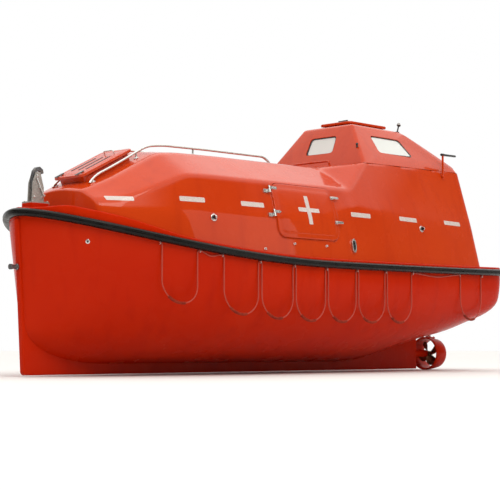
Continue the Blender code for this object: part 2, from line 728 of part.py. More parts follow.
def make_tower():
    floor = GAP * 2
    tower = tower_solid("tower", 0.0, floor)
    tree = tree_of(tower)
    fore, aft = ROOF_HATCH_X[0] - ROOF_COAMING_IN, ROOF_HATCH_X[1] + ROOF_COAMING_IN
    half = ROOF_HATCH_HALF - ROOF_COAMING_IN
    coaming_top = up(ROOF_LID_UNDER) - GAP
    join(tower, box("coaming", (aft, -half, up(2.70)), (fore, half, coaming_top), "canopy_orange"))
    wall = ROOF_COAMING_WALL
    way = box("way", (aft + wall, -half + wall, up(2.5)), (fore - wall, half - wall, up(2.9)), "liner")
    cut(tower, tower_solid("inside", TOWER_WALL, -0.05), way)
    for name, corners, normal in tower_panes():
        cut(tower, pane_block("hole", corners, normal, PANE_GAP, -0.09, 0.05, "liner"))
        pane_block(name, corners, normal, 0.0, -0.012 - PANE_THICK, -0.012, "glass")
    return tree


# Doors and hatches

def side_frame(x, height):
    """A point of the canopy's port side, the direction up along it and the outward one."""
    side = canopy_side(x)
    (y0, h0), (y1, h1) = side[1:3] if height >= side[1][1] else side[0:2]
    along = Vector((0, y1 - y0, h1 - h0)).normalized()
    outward = Vector((0, along.z, -along.y))
    return Vector((x, y0 + (height - h0) * (y1 - y0) / (h1 - h0), up(height))), along, outward


def hinge_point(height):
    """A point of the port door's hinge line, which lies outside the canopy's upper side."""
    point, _, outward = side_frame(HINGE_X, height)
    return point + outward * HINGE_OUT


def place_on_side(made, x, height, out):
    """Moves a piece modelled about its own origin to the canopy's side, its Z up along it and Y outward."""
    point, along, outward = side_frame(x, height)
    turn = Matrix((Vector((1, 0, 0)), outward, along)).transposed().to_4x4()
    made.data.transform(Matrix.Translation(point + outward * out) @ turn)
    return made


def barrel(low, high, radius, start=(0, 0, 0), axis=(0, 0, 1), name="barrel"):
    """A hinge's round barrel, between two distances along its line."""
    return turned(name, ((low, radius), (high, radius)), start, axis, "steel", 12)


def make_side_door():
    """The port door's leaf with its hinge straps and two dogs."""
    loops = []
    for x in (DOOR_X[0] - 0.05, 0.35, DOOR_X[1] + 0.02):
        heights = (DOOR_H[0] - 0.03, canopy_side(x)[1][1], DOOR_H[1] + 0.01)
        outer = [(x, canopy_y(x, h) + DOOR_PROUD, up(h)) for h in heights]
        inner = [(x, canopy_y(x, h) + DOOR_INNER, up(h)) for h in reversed(heights)]
        loops.append(outer + inner)
    door = loft("door_port", loops, "canopy_orange")
    combine(door, door_cutter(0.0), "INTERSECT")
    for height in HINGE_HEIGHTS:
        strap = box("strap", (-0.115, -0.023, 0.001), (0.0, 0.004, BARREL_LENGTH - 0.001), "steel")
        join(strap, barrel(GAP, BARREL_LENGTH, BARREL_RADIUS))
        join(door, place_on_side(strap, HINGE_X, height, HINGE_OUT))
    for height in DOG_HEIGHTS:
        dog = box("dog", (-0.055, 0.022, -0.012), (0.070, 0.036, 0.012), "steel")
        join(dog, box("pad", (0.020, 0.004, -0.016), (0.060, 0.028, 0.016), "steel"))
        join(door, place_on_side(dog, DOOR_X[0], height, 0.0))
    return door


def make_hinge(name, height):
    """The canopy's half of a side door's hinge: a plate and the lower barrel."""
    plate = box(name, (0.004, GAP - HINGE_OUT, -BARREL_LENGTH), (0.075, -0.012, 0.0), "steel")
    web = box("web", (0.0, -0.020, -BARREL_LENGTH), (0.030, 0.004, -0.001), "steel")
    join(plate, web, barrel(-BARREL_LENGTH, 0.0, BARREL_RADIUS))
    return place_on_side(plate, HINGE_X, height, HINGE_OUT)


def lid_hinge(name, lid, line, way, across, foot):
    """Joins two lugs to a lid, and makes the bracket with the barrel between them.

    The line is a point of the hinge line in the lid's middle, way the direction from it to the lid, across
    the direction from it down to the seat and foot how far down the seat is.
    """
    y = Vector((0, 1, 0))
    radius, half = LID_BARREL_RADIUS, LID_BRACKET_HALF
    arm_section = ((0, -0.008), (0.06, -0.008), (0.06, 0.004), (0, 0.008))
    arm = [line + way * a + across * c for a, c in arm_section]
    for low, high in ((half + 0.001, LID_LUG_END), (-LID_LUG_END, -half - 0.001)):
        lug = barrel(low, high, radius, line, y)
        join(lug, loft("arm", [[point + y * end for point in arm] for end in (low, high)], "steel"))
        join(lid, lug)
    bracket = barrel(-half, half, radius, line, y, name)
    plate = foot - LID_PLATE_THICK
    web_section = ((-0.008, 0), (0.006, 0), (0.006, foot), (-0.040, foot), (-0.040, plate), (-0.008, plate))
    web = [line + way * a + across * c for a, c in web_section]
    return join(bracket, loft("web", [[point + y * end for point in web] for end in (-half, half)], "steel"))


def front_hinge_line():
    run = slope_normal().cross(Vector((0, 1, 0)))
    return slope_point(FRONT_HATCH_X[1], FRONT_HATCH_RISE - FRONT_HATCH_THICK / 2) + run * LID_HINGE_OUT


def make_front_hatch():
    lid = slope_box("front_hatch", FRONT_HATCH_X[0], FRONT_HATCH_X[1], FRONT_HATCH_HALF,
                    FRONT_HATCH_RISE - FRONT_HATCH_THICK, FRONT_HATCH_RISE, "canopy_orange")
    normal = slope_normal()
    down_slope = Vector((0, 1, 0)).cross(normal)
    line = front_hinge_line()
    foot = FRONT_HATCH_RISE - FRONT_HATCH_THICK / 2 - FRONT_HINGE_LIFT
    lid_hinge("front_hatch_hinge", lid, line, down_slope, -normal, foot)
    set_origin(lid, line)


def roof_hinge_line():
    return Vector((ROOF_HATCH_X[1] - LID_HINGE_OUT, 0, up((ROOF_LID_UNDER + ROOF_LID_TOP) / 2)))


def make_roof_hatch(tower_tree):
    lid = box("roof_hatch", (ROOF_HATCH_X[1], -ROOF_HATCH_HALF, up(ROOF_LID_UNDER)),
              (ROOF_HATCH_X[0], ROOF_HATCH_HALF, up(ROOF_LID_TOP)), "canopy_orange")
    line = roof_hinge_line()
    foot = line.z - surface_over(tower_tree, line.x + 0.006, 0) - GAP
    lid_hinge("roof_hatch_hinge", lid, line, Vector((1, 0, 0)), Vector((0, 0, -1)), foot)
    set_origin(lid, line)


def make_aft_hatch():
    """The hatch's leaf, and the two hinge plates beside its starboard edge that carry it."""
    outline = rounded(-AFT_HATCH_HALF, AFT_HATCH_HALF, *AFT_HATCH_H, AFT_HATCH_CORNER)
    outline = [(y, up(h)) for y, h in outline]
    outside = CANOPY_AFT_X - AFT_HATCH_OUT
    leaf = prism("aft_hatch", outline, "x", outside, CANOPY_AFT_X + AFT_HATCH_IN, "canopy_orange")
    line_x, line_y = outside - LID_BARREL_RADIUS, -AFT_HATCH_HALF - LID_HINGE_OUT
    length, end = 0.040, 0.001
    for place, height in zip(("lower", "upper"), AFT_HINGE_HEIGHTS):
        z = up(height)
        line = (line_x, line_y, z)
        leaf_barrel = barrel(GAP, length, LID_BARREL_RADIUS, line)
        strap = box("strap", (line_x + 0.002, line_y, z + end),
                    (line_x + 0.012, line_y + 0.10, z + length - end), "steel")
        join(leaf, join(leaf_barrel, strap))
        bracket = barrel(-length, 0.0, LID_BARREL_RADIUS, line, name="aft_hatch_hinge_" + place)
        plate = box("plate", (line_x, line_y - 0.05, z - length + end),
                    (CANOPY_AFT_X - GAP, line_y + 0.004, z - end), "steel")
        join(bracket, plate)
    set_origin(leaf, Vector((line_x, line_y, up(AFT_HINGE_HEIGHTS[0]))))


# Fender, rails and ropes

def fender_path():
    """The hull's plan from the port quarter round the bow, with the outward direction at each corner."""
    stations = [FENDER_END_X] + [s for s in STATIONS if s > FENDER_END_X]
    port = [(x, sheer_breadth(x), sheer_height(x)) for x in stations]
    path = port + [(x, -y, h) for x, y, h in reversed(port[:-1])]
    directions = []
    for i in range(len(path)):
        normals = []
        for a, b in ((i - 1, i), (i, i + 1)):
            if a < 0 or b >= len(path):
                continue
            run = Vector((path[b][0] - path[a][0], path[b][1] - path[a][1], 0)).normalized()
            normals.append(Vector((-run.y, run.x, 0)))
        middle = sum(normals, Vector()).normalized()
        directions.append(middle / middle.dot(normals[0]))
    return [(Vector((x, y, up(h))), out) for (x, y, h), out in zip(path, directions)]


def make_fender():
    """A D-shaped rubber strip on the hull's side."""
    half, depth = FENDER_HALF_HEIGHT, FENDER_DEPTH
    section = ((GAP, half), (depth * 0.45, half), (depth * 0.85, half * 0.72), (depth, half * 0.25),
               (depth, -half * 0.25), (depth * 0.85, -half * 0.72), (depth * 0.45, -half), (GAP, -half))
    loops = []
    for point, out in fender_path():
        loops.append([point + out * away + Vector((0, 0, rise)) for away, rise in section])
    return loft("fender", loops, "rubber", smooth=True)


def lifeline_route():
    """The rope's route along the hull's side: a loop that hangs plumb between each pair of beckets."""
    route = []
    out = ROPE_RADIUS + GAP
    for i, depth in enumerate(LOOP_DEPTH + (0.0,)):
        start, end = BECKETS[i], BECKETS[min(i + 1, len(BECKETS) - 1)]
        steps = 1 if start == end else 10 if depth else 2
        for k in range(steps):
            share = k / steps
            x = start + (end - start) * (0.5 - 0.5 * math.cos(math.pi * share))
            drop = BECKET_DROP + (depth or SHORT_BIGHT) * math.sin(math.pi * share) ** 0.7
            route.append(Vector((x, sheer_breadth(x) + out, up(sheer_height(x) - FENDER_HALF_HEIGHT - drop))))
    return route


def make_rail(tree):
    """The port rail: up the sloping front and aft along the roof, on short posts."""
    fore, knee, aft = 2.60, 1.88, 0.20
    posts = (2.58, 2.05, 1.30, 0.22)
    route = []
    for x, rise in ((fore + 0.02, 0.02), (fore, RAIL_RISE * 0.8), (fore - 0.06, RAIL_RISE), (2.10, RAIL_RISE),
                    (knee + 0.10, RAIL_RISE), (knee, RAIL_RISE), (knee - 0.12, RAIL_RISE), (1.30, RAIL_RISE),
                    (aft + 0.08, RAIL_RISE), (aft + 0.02, RAIL_RISE * 0.8), (aft, 0.02)):
        route.append(Vector((x, RAIL_Y, surface_over(tree, x, RAIL_Y) + rise)))
    rail = tube("rail_port", route, RAIL_RADIUS, "steel")
    for x in posts:
        foot = max(surface_over(tree, x + side, RAIL_Y - POST_FOOT) for side in (-POST_FOOT, POST_FOOT)) + GAP
        post = turned("post", ((0.0, POST_FOOT), (0.006, POST_FOOT), (0.007, 0.009), (RAIL_RISE, 0.009)),
                      (x, RAIL_Y, foot), (0, 0, 1), "steel", 8)
        join(rail, post)
    return rail


# Hooks

def hook_foot(x):
    """Z of the level that a hook's cheeks stand on, over the deck's highest point under the base."""
    return up(max(rim_height(x - HOOK_BASE_AFT), rim_height(x + HOOK_BASE_FORE)))


def make_hook_base(name, x):
    """Two cheeks on a base block that follows the deck, with the hook's pin through them."""
    deck = hook_foot(x)
    aft, fore = x - HOOK_BASE_AFT, x + HOOK_BASE_FORE
    under = [aft] + [s for s in STATIONS if aft < s < fore] + [fore]
    outline = [(s, up(rim_height(s)) + GAP) for s in under] + [(fore, deck + 0.014), (aft, deck + 0.014)]
    base = prism(name, outline, "y", -0.075, 0.075, "steel")
    inner, outer = HOOK_CHEEK_GAP, HOOK_CHEEK_GAP + HOOK_CHEEK_THICK
    outline = [(x - 0.075, deck + 0.006), (x + 0.060, deck + 0.006), (x + 0.050, deck + 0.19),
               (x + 0.015, deck + HOOK_CHEEK_TOP), (x - 0.035, deck + HOOK_CHEEK_TOP),
               (x - 0.075, deck + 0.15)]
    for low, high in ((inner, outer), (-outer, -inner)):
        join(base, prism("cheek", outline, "y", low, high, "steel"))
    pin = turned("pin", ((-outer - 0.012, HOOK_PIN_RADIUS), (outer + 0.012, HOOK_PIN_RADIUS)),
                 (x - HOOK_PIN_AFT, 0, deck + HOOK_PIN_UP), (0, 1, 0), "steel", 12)
    return join(base, pin)


def make_hook(name, x):
    """The hook itself, between the cheeks, with a throat for the davit's link."""
    deck = hook_foot(x)
    outline = ((-0.050, 0.105), (0.020, 0.105), (0.038, 0.150), (0.042, 0.245), (0.030, 0.300),
               (0.000, 0.335), (-0.045, 0.345), (-0.080, 0.320), (-0.088, 0.285), (-0.060, 0.275),
               (-0.050, 0.298), (-0.020, 0.303), (-0.002, 0.285), (-0.006, 0.255), (-0.040, 0.225),
               (-0.055, 0.180))
    outline = [(x + a, deck + h) for a, h in outline]
    hook = prism(name, outline, "y", -HOOK_HALF_THICK, HOOK_HALF_THICK, "steel")
    pin = Vector((x - HOOK_PIN_AFT, 0, deck + HOOK_PIN_UP))
    radius = HOOK_PIN_RADIUS + HOOK_PIN_CLEARANCE
    cut(hook, turned("bore", ((-0.05, radius), (0.05, radius)), pin, (0, 1, 0), "steel", 12))
    set_origin(hook, pin)


# Propeller and nozzle

def make_nozzle():
    sides = 28
    profile = ((NOZZLE_FORE, NOZZLE_INNER_FORE + 0.006), (NOZZLE_FORE - 0.012, NOZZLE_OUTER_FORE),
               (0.0, NOZZLE_OUTER_FORE - 0.004), (NOZZLE_AFT, NOZZLE_OUTER_AFT),
               (NOZZLE_AFT, NOZZLE_INNER_AFT), (0.0, NOZZLE_INNER_FORE - 0.008))
    loops = []
    for k in range(sides):
        turn = 2 * math.pi * k / sides
        loops.append([(NOZZLE_X + along, radius * math.sin(turn), up(SHAFT_HEIGHT) + radius * math.cos(turn))
                      for along, radius in profile])
    nozzle = loft("nozzle", loops, "hull_red", closed=True, smooth=True)
    foot = SHAFT_HEIGHT + NOZZLE_OUTER_FORE - 0.012
    stock = turned("stock", ((0.0, 0.045), (0.02, STOCK_RADIUS), (STOCK_TOP - foot, STOCK_RADIUS)),
                   (NOZZLE_X, 0, up(foot)), (0, 0, 1), "steel", 16)
    join(nozzle, stock)
    set_origin(nozzle, Vector((NOZZLE_X, 0, up(SHAFT_HEIGHT))))


def blade(turn):
    """One twisted blade, as a loft of thin sections from the hub out to the tip."""
    loops = []
    #         radius, chord, pitch angle from the disc, thickness
    sections = ((0.018, 0.040, 60, 0.010), (0.060, 0.078, 42, 0.007), (0.105, 0.092, 30, 0.005),
                (0.140, 0.062, 25, 0.004), (PROPELLER_RADIUS, 0.026, 23, 0.003))
    for radius, chord, pitch, thick in sections:
        lean = math.radians(pitch)
        chord_way = Vector((math.sin(lean), math.cos(lean), 0))
        thick_way = Vector((math.cos(lean), -math.sin(lean), 0))
        loop = []
        for along, side in ((-0.5, 0.0), (-0.2, 0.5), (0.2, 0.5), (0.5, 0.0), (0.2, -0.5), (-0.2, -0.5)):
            loop.append(chord_way * along * chord + thick_way * side * thick + Vector((0, 0, radius)))
        loops.append(loop)
    made = loft("blade", loops, "bronze", smooth=True)
    place = Matrix.Translation((NOZZLE_X, 0, up(SHAFT_HEIGHT))) @ Matrix.Rotation(turn, 4, "X")
    made.data.transform(place)
    return made


def make_propeller():
    fore = BOSS_END_X - GAP - NOZZLE_X
    profile = ((-0.075, 0.010), (-0.055, 0.024), (-0.02, HUB_RADIUS), (fore, HUB_RADIUS + 0.004),
               (fore, SHAFT_RADIUS), (fore + 0.11, SHAFT_RADIUS))
    hub = turned("propeller", profile, (NOZZLE_X, 0, up(SHAFT_HEIGHT)), (1, 0, 0), "bronze", 16)
    for k in range(BLADES):
        join(hub, blade(2 * math.pi * k / BLADES + 0.4))
    set_origin(hub, Vector((NOZZLE_X, 0, up(SHAFT_HEIGHT))))


# Small fittings

def make_fittings(canopy_tree, tower_tree):
    radius = 0.030
    start = (fin_front(STEM_FITTING_H + radius) + GAP, 0, up(STEM_FITTING_H))
    profile = ((0.0, radius), (0.012, radius), (0.014, 0.020), (0.055, 0.020), (0.060, 0.026), (0.085, 0.026))
    turned("stem_fitting", profile, start, (1, 0, 0), "steel", 12)
    profile = ((0.0, 0.036), (0.008, 0.036), (0.012, 0.018), (0.036, 0.022), (0.046, 0.014))
    for place, x, height in SIDE_EYES:
        name = "side_eye_port_" + place
        eye = turned(name, profile, (0, 0, 0), (0, 1, 0), "steel", 12)
        stand_on_side(eye, canopy_tree, x, height)
        mirrored(eye, name.replace("port", "starboard"))
    turns = np.linspace(0, 2 * math.pi, 17)[:-1]
    outer = [(0.034 * math.cos(t), 0.074 * math.sin(t)) for t in turns]
    inner = [(0.020 * math.cos(t), 0.058 * math.sin(t)) for t in turns]
    vent = prism("vent_port", outer, "y", 0.0, 0.020, "steel")
    cut(vent, prism("recess", inner, "y", 0.006, 0.1, "steel"))
    stand_on_side(vent, canopy_tree, *VENT_PLACE)
    mirrored(vent, "vent_starboard")
    x, y = LAMP_PLACE
    radius = 0.024
    foot = surface_over(tower_tree, x + radius, y) + GAP
    lamp = turned("signal_lamp", ((0.0, radius), (0.012, radius)), (x, y, foot), (0, 0, 1), "black_plastic", 12)
    profile = ((0.0, 0.008), (0.075, 0.008), (0.080, 0.020), (0.105, radius), (0.118, 0.012))
    join(lamp, turned("head", profile, (x, y, foot + 0.008), (-0.35, 0, 1), "black_plastic", 12))
    foot, top, radius = 2.19, 2.462, 0.012
    x = AERIAL_X
    y = side_of(canopy_tree, x, foot + 0.01) + radius + AERIAL_LEAN
    post = tube("aerial_post", [(x, y, up(foot)), (x, y, up(top))], radius, "canopy_orange", 8)
    bar = [(x + 0.035, y, up(top)), (x - 0.245, y, up(top - 0.004))]
    join(post, tube("bar", bar, 0.013, "black_plastic", 8))
    x, half = TOWER_FRONT_X + 0.09, 0.30
    z = surface_over(canopy_tree, x, half) + BAR_FOOT
    route = [(x, half, z), (x, half, z + 0.039), (x, half - 0.04, z + 0.059)]
    route += [(x, -y, z) for x, y, z in reversed(route)]
    tube("tower_grab_bar", route, 0.011, "canopy_orange", 8)


def make_cabin():
    """What shows inside through the doors, the hatches and the windows."""
    sole = up(SOLE) + GAP
    for name, way in (("bench_port", 1), ("bench_starboard", -1)):
        outline = [(0.42, sole), (0.74, sole), (0.80, sole + 0.30), (0.80, sole + 0.40), (0.38, sole + 0.40),
                   (0.38, sole + 0.36), (0.42, sole + 0.33)]
        prism(name, [(way * y, z) for y, z in outline], "x", -1.25, 1.55, "liner")
    box("engine", (-2.32, -0.27, sole), (-1.62, 0.27, sole + 0.46), "grey_paint")
    seat = box("helm_seat", (-1.50, -0.24, sole), (-1.32, 0.24, sole + 0.98), "liner")
    join(seat, box("pan", (-1.62, -0.24, sole + 0.90), (-1.20, 0.24, sole + 0.98), "black_plastic"),
         box("back", (-1.62, -0.24, sole + 0.90), (-1.55, 0.24, sole + 1.40), "black_plastic"))
    console = box("helm_console", (-0.92, -0.30, sole), (-0.72, 0.30, sole + 1.10), "liner")
    join(console, turned("wheel", ((0.0, 0.02), (0.10, 0.02), (0.11, 0.17), (0.13, 0.17)),
                         (-0.90, 0, sole + 1.02), (-1, 0, 0.2), "black_plastic", 20))


def main():
    for old in list(bpy.data.objects):
        bpy.data.objects.remove(old)
    make_hull()
    canopy_tree = make_canopy()
    tower_tree = make_tower()
    door = make_side_door()
    other_door = mirrored(door, "door_starboard")
    hinge = hinge_point(HINGE_HEIGHTS[0])
    set_origin(door, hinge)
    set_origin(other_door, Vector((hinge.x, -hinge.y, hinge.z)))
    for height, place in zip(HINGE_HEIGHTS, ("lower", "upper")):
        hinge = make_hinge("door_hinge_port_" + place, height)
        mirrored(hinge, "door_hinge_starboard_" + place)
    make_front_hatch()
    make_roof_hatch(tower_tree)
    make_aft_hatch()
    make_fender()
    rope = tube("lifeline_port", lifeline_route(), ROPE_RADIUS, "rope", 8)
    mirrored(rope, "lifeline_starboard")
    rail = make_rail(canopy_tree)
    mirrored(rail, "rail_starboard")
    for place, x in (("fore", HOOK_FORE_X), ("aft", HOOK_AFT_X)):
        make_hook_base("hook_base_" + place, x)
        make_hook("hook_" + place, x)
    make_nozzle()
    make_propeller()
    make_fittings(canopy_tree, tower_tree)
    make_cabin()


main()
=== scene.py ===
"""The looks of a totally enclosed lifeboat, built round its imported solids.

Metres. +X points to the bow, +Y to port and +Z up, with the origin amidships at the waterline. Heights are
measured up from the keel's foot, and up() turns one into a Z. A shape is a pair: its points and its faces.
"""
import math

import bpy
import bmesh
import numpy as np
from mathutils import Matrix, Vector
from mathutils.bvhtree import BVHTree


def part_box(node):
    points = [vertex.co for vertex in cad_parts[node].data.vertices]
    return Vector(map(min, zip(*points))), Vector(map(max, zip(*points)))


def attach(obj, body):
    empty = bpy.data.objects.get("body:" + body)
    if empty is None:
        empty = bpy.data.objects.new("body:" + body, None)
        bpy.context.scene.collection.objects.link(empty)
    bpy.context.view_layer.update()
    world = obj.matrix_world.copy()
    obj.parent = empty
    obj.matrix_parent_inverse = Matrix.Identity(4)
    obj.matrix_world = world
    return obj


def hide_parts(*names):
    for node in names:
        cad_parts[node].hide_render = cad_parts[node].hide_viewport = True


GAP = 0.0003
DOOR_GAP = 0.006
DRAFT = 0.62
FLOOR_Z = -0.6355           # the lowest point of the nozzle

# Hull form
HALF_BEAM = 1.10
MID_X = -0.35
STEM_FOOT_X = 3.156
STEM_RAKE = 0.06
STEM_HEAD_X = 3.24
TRANSOM_X = -3.22
CANOE_FOOT = 0.10
FOREFOOT_TOP = 0.45
FOREFOOT_LENGTH = 0.80
LEVEL_TOP = 0.65
SHEER_MID = 1.085
SHEER_BOW_RISE = 0.40
SHEER_BOW_POWER = 2.3
SHEER_STERN_RISE = 0.042
FENDER_HALF_HEIGHT = 0.038
FENDER_DEPTH = 0.060
FENDER_END_X = -3.10
FENDER_FOOT = SHEER_MID - FENDER_HALF_HEIGHT
RIM_RISE = 0.062
RIM_BOW_RISE = 0.060
RIM_ROUND = 0.012
NOSE_START_X = 2.96
NOSE_DROP = 0.075
SHELL = 0.075
SOLE = 0.50
CAVITY_X = (-2.56, 2.62)
RUN_HEIGHT = (0.10, 0.13, 0.24, 0.35, 0.45, 0.58, 0.64, 0.70, 0.78)
RUN_X = (-1.25, -1.44, -1.78, -2.21, -2.69, -3.03, -3.16, -3.21, -3.22)
SQUARE_HEIGHT = (0.10, 0.35, 0.50, 0.65, 0.80, 1.00)
SQUARE_POWER = (4.0, 5.0, 7.0, 16.0, 45.0, 60.0)
HULL_ROWS = 36
FORE_COLUMNS = 46
AFT_COLUMNS = 38

# Keel plate
FIN_HALF = 0.032
SKEG_END_X = -2.60
FIN_PROUD = 0.020
FIN_TOP = 1.43
FIN_FOOT = 0.035

# Propeller and steering nozzle
SHAFT_HEIGHT = 0.180
NOZZLE_X = -2.87
BLADES = 4
HUB_RADIUS = 0.030
SHAFT_RADIUS = 0.016
SHAFT_CLEARANCE = 0.0025
SHAFT_LENGTH = 0.11         # inside the boss
BORE_DEPTH = 0.12
BOSS_RADIUS = 0.042
BOSS_END_X = NOZZLE_X + 0.062
STOCK_RADIUS = 0.028
STOCK_TOP = 0.640
STOCK_CLEARANCE = 0.003
STOCK_HOLE_FOOT = 0.30

# Canopy form
CANOPY_WALL = 0.045
CANOPY_BASE_IN = 0.035
CANOPY_FRONT_X = 2.78
CANOPY_AFT_X = -2.64
#                  x     side in  side h  crease in  crease h  edge y  edge h  top h
CANOPY_SECTIONS = (
    (2.78, 0.045, 1.560, 0.095, 1.610, 0.340, 1.695, 1.735),
    (2.62, 0.042, 1.550, 0.092, 1.625, 0.380, 1.765, 1.805),
    (2.45, 0.040, 1.520, 0.090, 1.655, 0.415, 1.840, 1.880),
    (2.20, 0.040, 1.500, 0.105, 1.765, 0.435, 1.970, 2.012),
    (1.92, 0.050, 1.500, 0.130, 1.878, 0.450, 2.112, 2.160),
    (1.70, 0.060, 1.500, 0.150, 1.885, 0.460, 2.135, 2.190),
    (1.15, 0.070, 1.500, 0.180, 1.885, 0.480, 2.145, 2.200),
    (0.35, 0.075, 1.500, 0.200, 1.890, 0.490, 2.150, 2.205),
    (-0.35, 0.110, 1.700, 0.200, 1.900, 0.500, 2.155, 2.210),
)
TOWER_FRONT_X = -0.82
KNUCKLE_FRONT = (0.72, 2.240)
KNUCKLE_AFT = (0.62, 2.285)
FLANK_SIDE_FRONT = (0.985, 1.660)
FLANK_SIDE_AFT = (0.815, 1.635)
ROOF_FRONT_X, ROOF_AFT_X = -1.048, -1.950
ROOF_HALF, ROOF_FRONT_H, ROOF_AFT_H = 0.358, 2.727, 2.720
TAIL = (0.55, 2.364)
TOWER_WALL = 0.040

# Windows in the tower
FRONT_PANE = ((-0.20, 2.400), (0.20, 2.400), (0.19, 2.600), (-0.19, 2.600))
SIDE_PANE = ((-1.230, 2.400), (-1.840, 2.410), (-1.760, 2.605), (-1.250, 2.605))
AFT_PANE = ((-2.14, 0.24), (-2.14, -0.24), (-2.42, -0.28), (-2.42, 0.28))
PANE_ROUND = 0.045
PANE_DEPTH = 0.014
PANE_THICK = 0.006

# Side doors
DOOR_X = (-0.04, 0.86)
DOOR_H = (1.330, 1.872)
DOOR_CORNER = 0.10
DOOR_CUT = 0.15
HINGE_X = 0.895
HINGE_HEIGHTS = (1.56, 1.80)
BARREL_RADIUS = 0.011
BARREL_LENGTH = 0.036
DOG_HEIGHTS = (1.52, 1.77)
HINGE_START = Vector((HINGE_X, 1.01516, 0.94854))       # the port door's hinge line at the lower hinge
HINGE_ALONG = Vector((0, -0.28462, 0.95864))
DOOR_OUT = Vector((0, 0.95864, 0.28462))                # the way that the port door's leaf leaves its opening
SEAL_OUT = 0.0085           # from a leaf's edge to the middle of the seal round its way in
LEAF_PROFILE = ((0.0, -0.036), (0.0, 0.007), (0.002, 0.0105), (0.006, 0.0130), (0.012, 0.0140),
                (0.040, 0.0145), (0.048, 0.0165), (0.056, 0.0185), (0.080, 0.0200), (0.110, 0.0210),
                (0.140, 0.0218), (0.170, 0.0222), (0.200, 0.0225), (0.230, 0.0227), (0.255, 0.0227))

# Hatches
FRONT_HATCH_X = (2.64, 2.02)
FRONT_HATCH_HALF = 0.225
FRONT_HATCH_RISE = 0.070
FRONT_HATCH_THICK = 0.030
COAMING_IN = 0.030
ROOF_HATCH_X = (-1.169, -1.829)
ROOF_HATCH_HALF = 0.228
ROOF_LID_UNDER = 2.757
ROOF_LID_TOP = 2.787
ROOF_HANDLE_X = -1.26
AFT_HATCH_HALF = 0.25
AFT_HATCH_H = (1.565, 2.06)
AFT_HATCH_OUT = 0.014
AFT_HINGE_HEIGHTS = (1.66, 1.92)
AFT_HANDLE_HEIGHTS = (1.70, 1.92)
LID_BARREL_RADIUS = 0.010
LID_BRACKET_HALF = 0.080
LID_LUG_END = 0.130
LID_HINGE_OUT = 0.016
LID_PROFILE = ((0.030, 0.0), (0.006, 0.0), (0.0, 0.004), (0.0, 0.020), (0.002, 0.026), (0.008, 0.030),
               (0.034, 0.030), (0.040, 0.0265), (0.048, 0.0265), (0.056, 0.0305), (0.085, 0.0315),
               (0.150, 0.0320))

# Hooks
HOOK_FORE_X, HOOK_AFT_X = 3.045, -2.90
HOOK_BASE_AFT, HOOK_BASE_FORE = 0.11, 0.09

# Rails and ropes
RAIL_RADIUS = 0.0125
RAIL_Y = 0.275
RAIL_RISE = 0.075
RAIL_FEET = ((2.58, 0.5), (2.05, 1.0), (1.30, 1.0), (0.22, 0.5))    # x, share of the full height
ROPE_RADIUS = 0.006
BECKETS = (2.27, 1.87, 1.62, 1.16, 0.70, 0.23, -0.24, -0.71, -1.18, -2.10, -2.60)
LOOP_DEPTH = (0.52, 0.0, 0.53, 0.53, 0.53, 0.53, 0.53, 0.53, 0.0, 0.50)
BECKET_DROP = 0.0065
SHORT_BIGHT = 0.03
ROPE_TURN = 0.022           # how tightly the rope turns over a becket
ROPE_STEP = 0.009
GRIP_RADIUS = 0.0135
GRIP_FROM, GRIP_TO = 9, 20  # of the 33 points round a loop's bottom

# Small fittings
SIDE_OUTLETS = (("fore", 1.66, 1.478), ("aft", -1.53, 1.548))       # name, x, height
STUDS = ((0.645, 1.273), (0.173, 1.273), (1.055, 1.205))    # x, height
HULL_OUTLET = (2.852, 1.21)
LAMP_PLACE = (-1.92, 0.30)  # x, y
LAMP_NECK = 0.094           # from the roof to the foot of the glass
CORNER_LIGHT_PLACE = (-0.915, 0.545)
AERIAL_X, AERIAL_TOP = -2.28, 2.462
BAR_HALF = 0.30

# Reflective tapes on the canopy's sides: middle's x and height, length, height of the strip
TAPES = (
    ("tape_bow", 2.570, 1.615, 0.23, 0.040),
    ("tape_1", 1.878, 1.639, 0.28, 0.047),
    ("tape_2", 1.148, 1.636, 0.30, 0.047),
    ("tape_3", -0.430, 1.627, 0.32, 0.047),
    ("tape_4", -1.295, 1.638, 0.34, 0.047),
    ("tape_5", -2.215, 1.655, 0.34, 0.047),
)

# Cabin
SEAT_TOP = 0.4005           # of the bench, above the sole
SEAT_X = (-0.775, 0.155, 1.075)
SEAT_Y = 0.59
SEAT_FORM = (-0.447, 0.447, -0.187, 0.187)
SEAT_THICK = 0.046
HELM_FORM = (-1.60, -1.22, -0.217, 0.217)
HELM_HEIGHTS = (0.901, 0.972)    # of the helm pad's foot and top, above the sole
PAD_VOXEL = 0.012
PAD_CAP = 0.010             # how far a point of a pad may move as it swells

# Stage, lights and camera
FLOOR_HALF = 60.0
WARM = (1.0, 0.95, 0.88)
LIGHTS = (
    # name, place, aim, size, power
    ("key", (6.0, 9.5, 10.0), (0, 0, 0.4), (6.0, 6.0), 470.0),
    ("fill", (-6.0, 12.0, 4.0), (0, 0, 0.2), (7.0, 5.0), 120.0),
)
CAMERA_PLACE = (11.399, 10.912, -0.354)
CAMERA_HEADING = 45.74      # degrees from -Y towards -X
CAMERA_PITCH = 3.905        # degrees above level
SENSOR = 36.0
FOCAL_SHARE = 1481.0 / 500.0            # the focal length over the picture's width

FORWARD, UPWARD = Vector((1, 0, 0)), Vector((0, 0, 1))

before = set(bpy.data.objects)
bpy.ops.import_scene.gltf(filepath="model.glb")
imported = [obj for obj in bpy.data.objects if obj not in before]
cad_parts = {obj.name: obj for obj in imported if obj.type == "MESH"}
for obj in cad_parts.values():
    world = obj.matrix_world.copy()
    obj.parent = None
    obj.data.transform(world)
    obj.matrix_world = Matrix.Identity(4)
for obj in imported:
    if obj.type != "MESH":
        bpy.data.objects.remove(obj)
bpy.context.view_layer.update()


def up(height):
    return height - DRAFT


# Materials

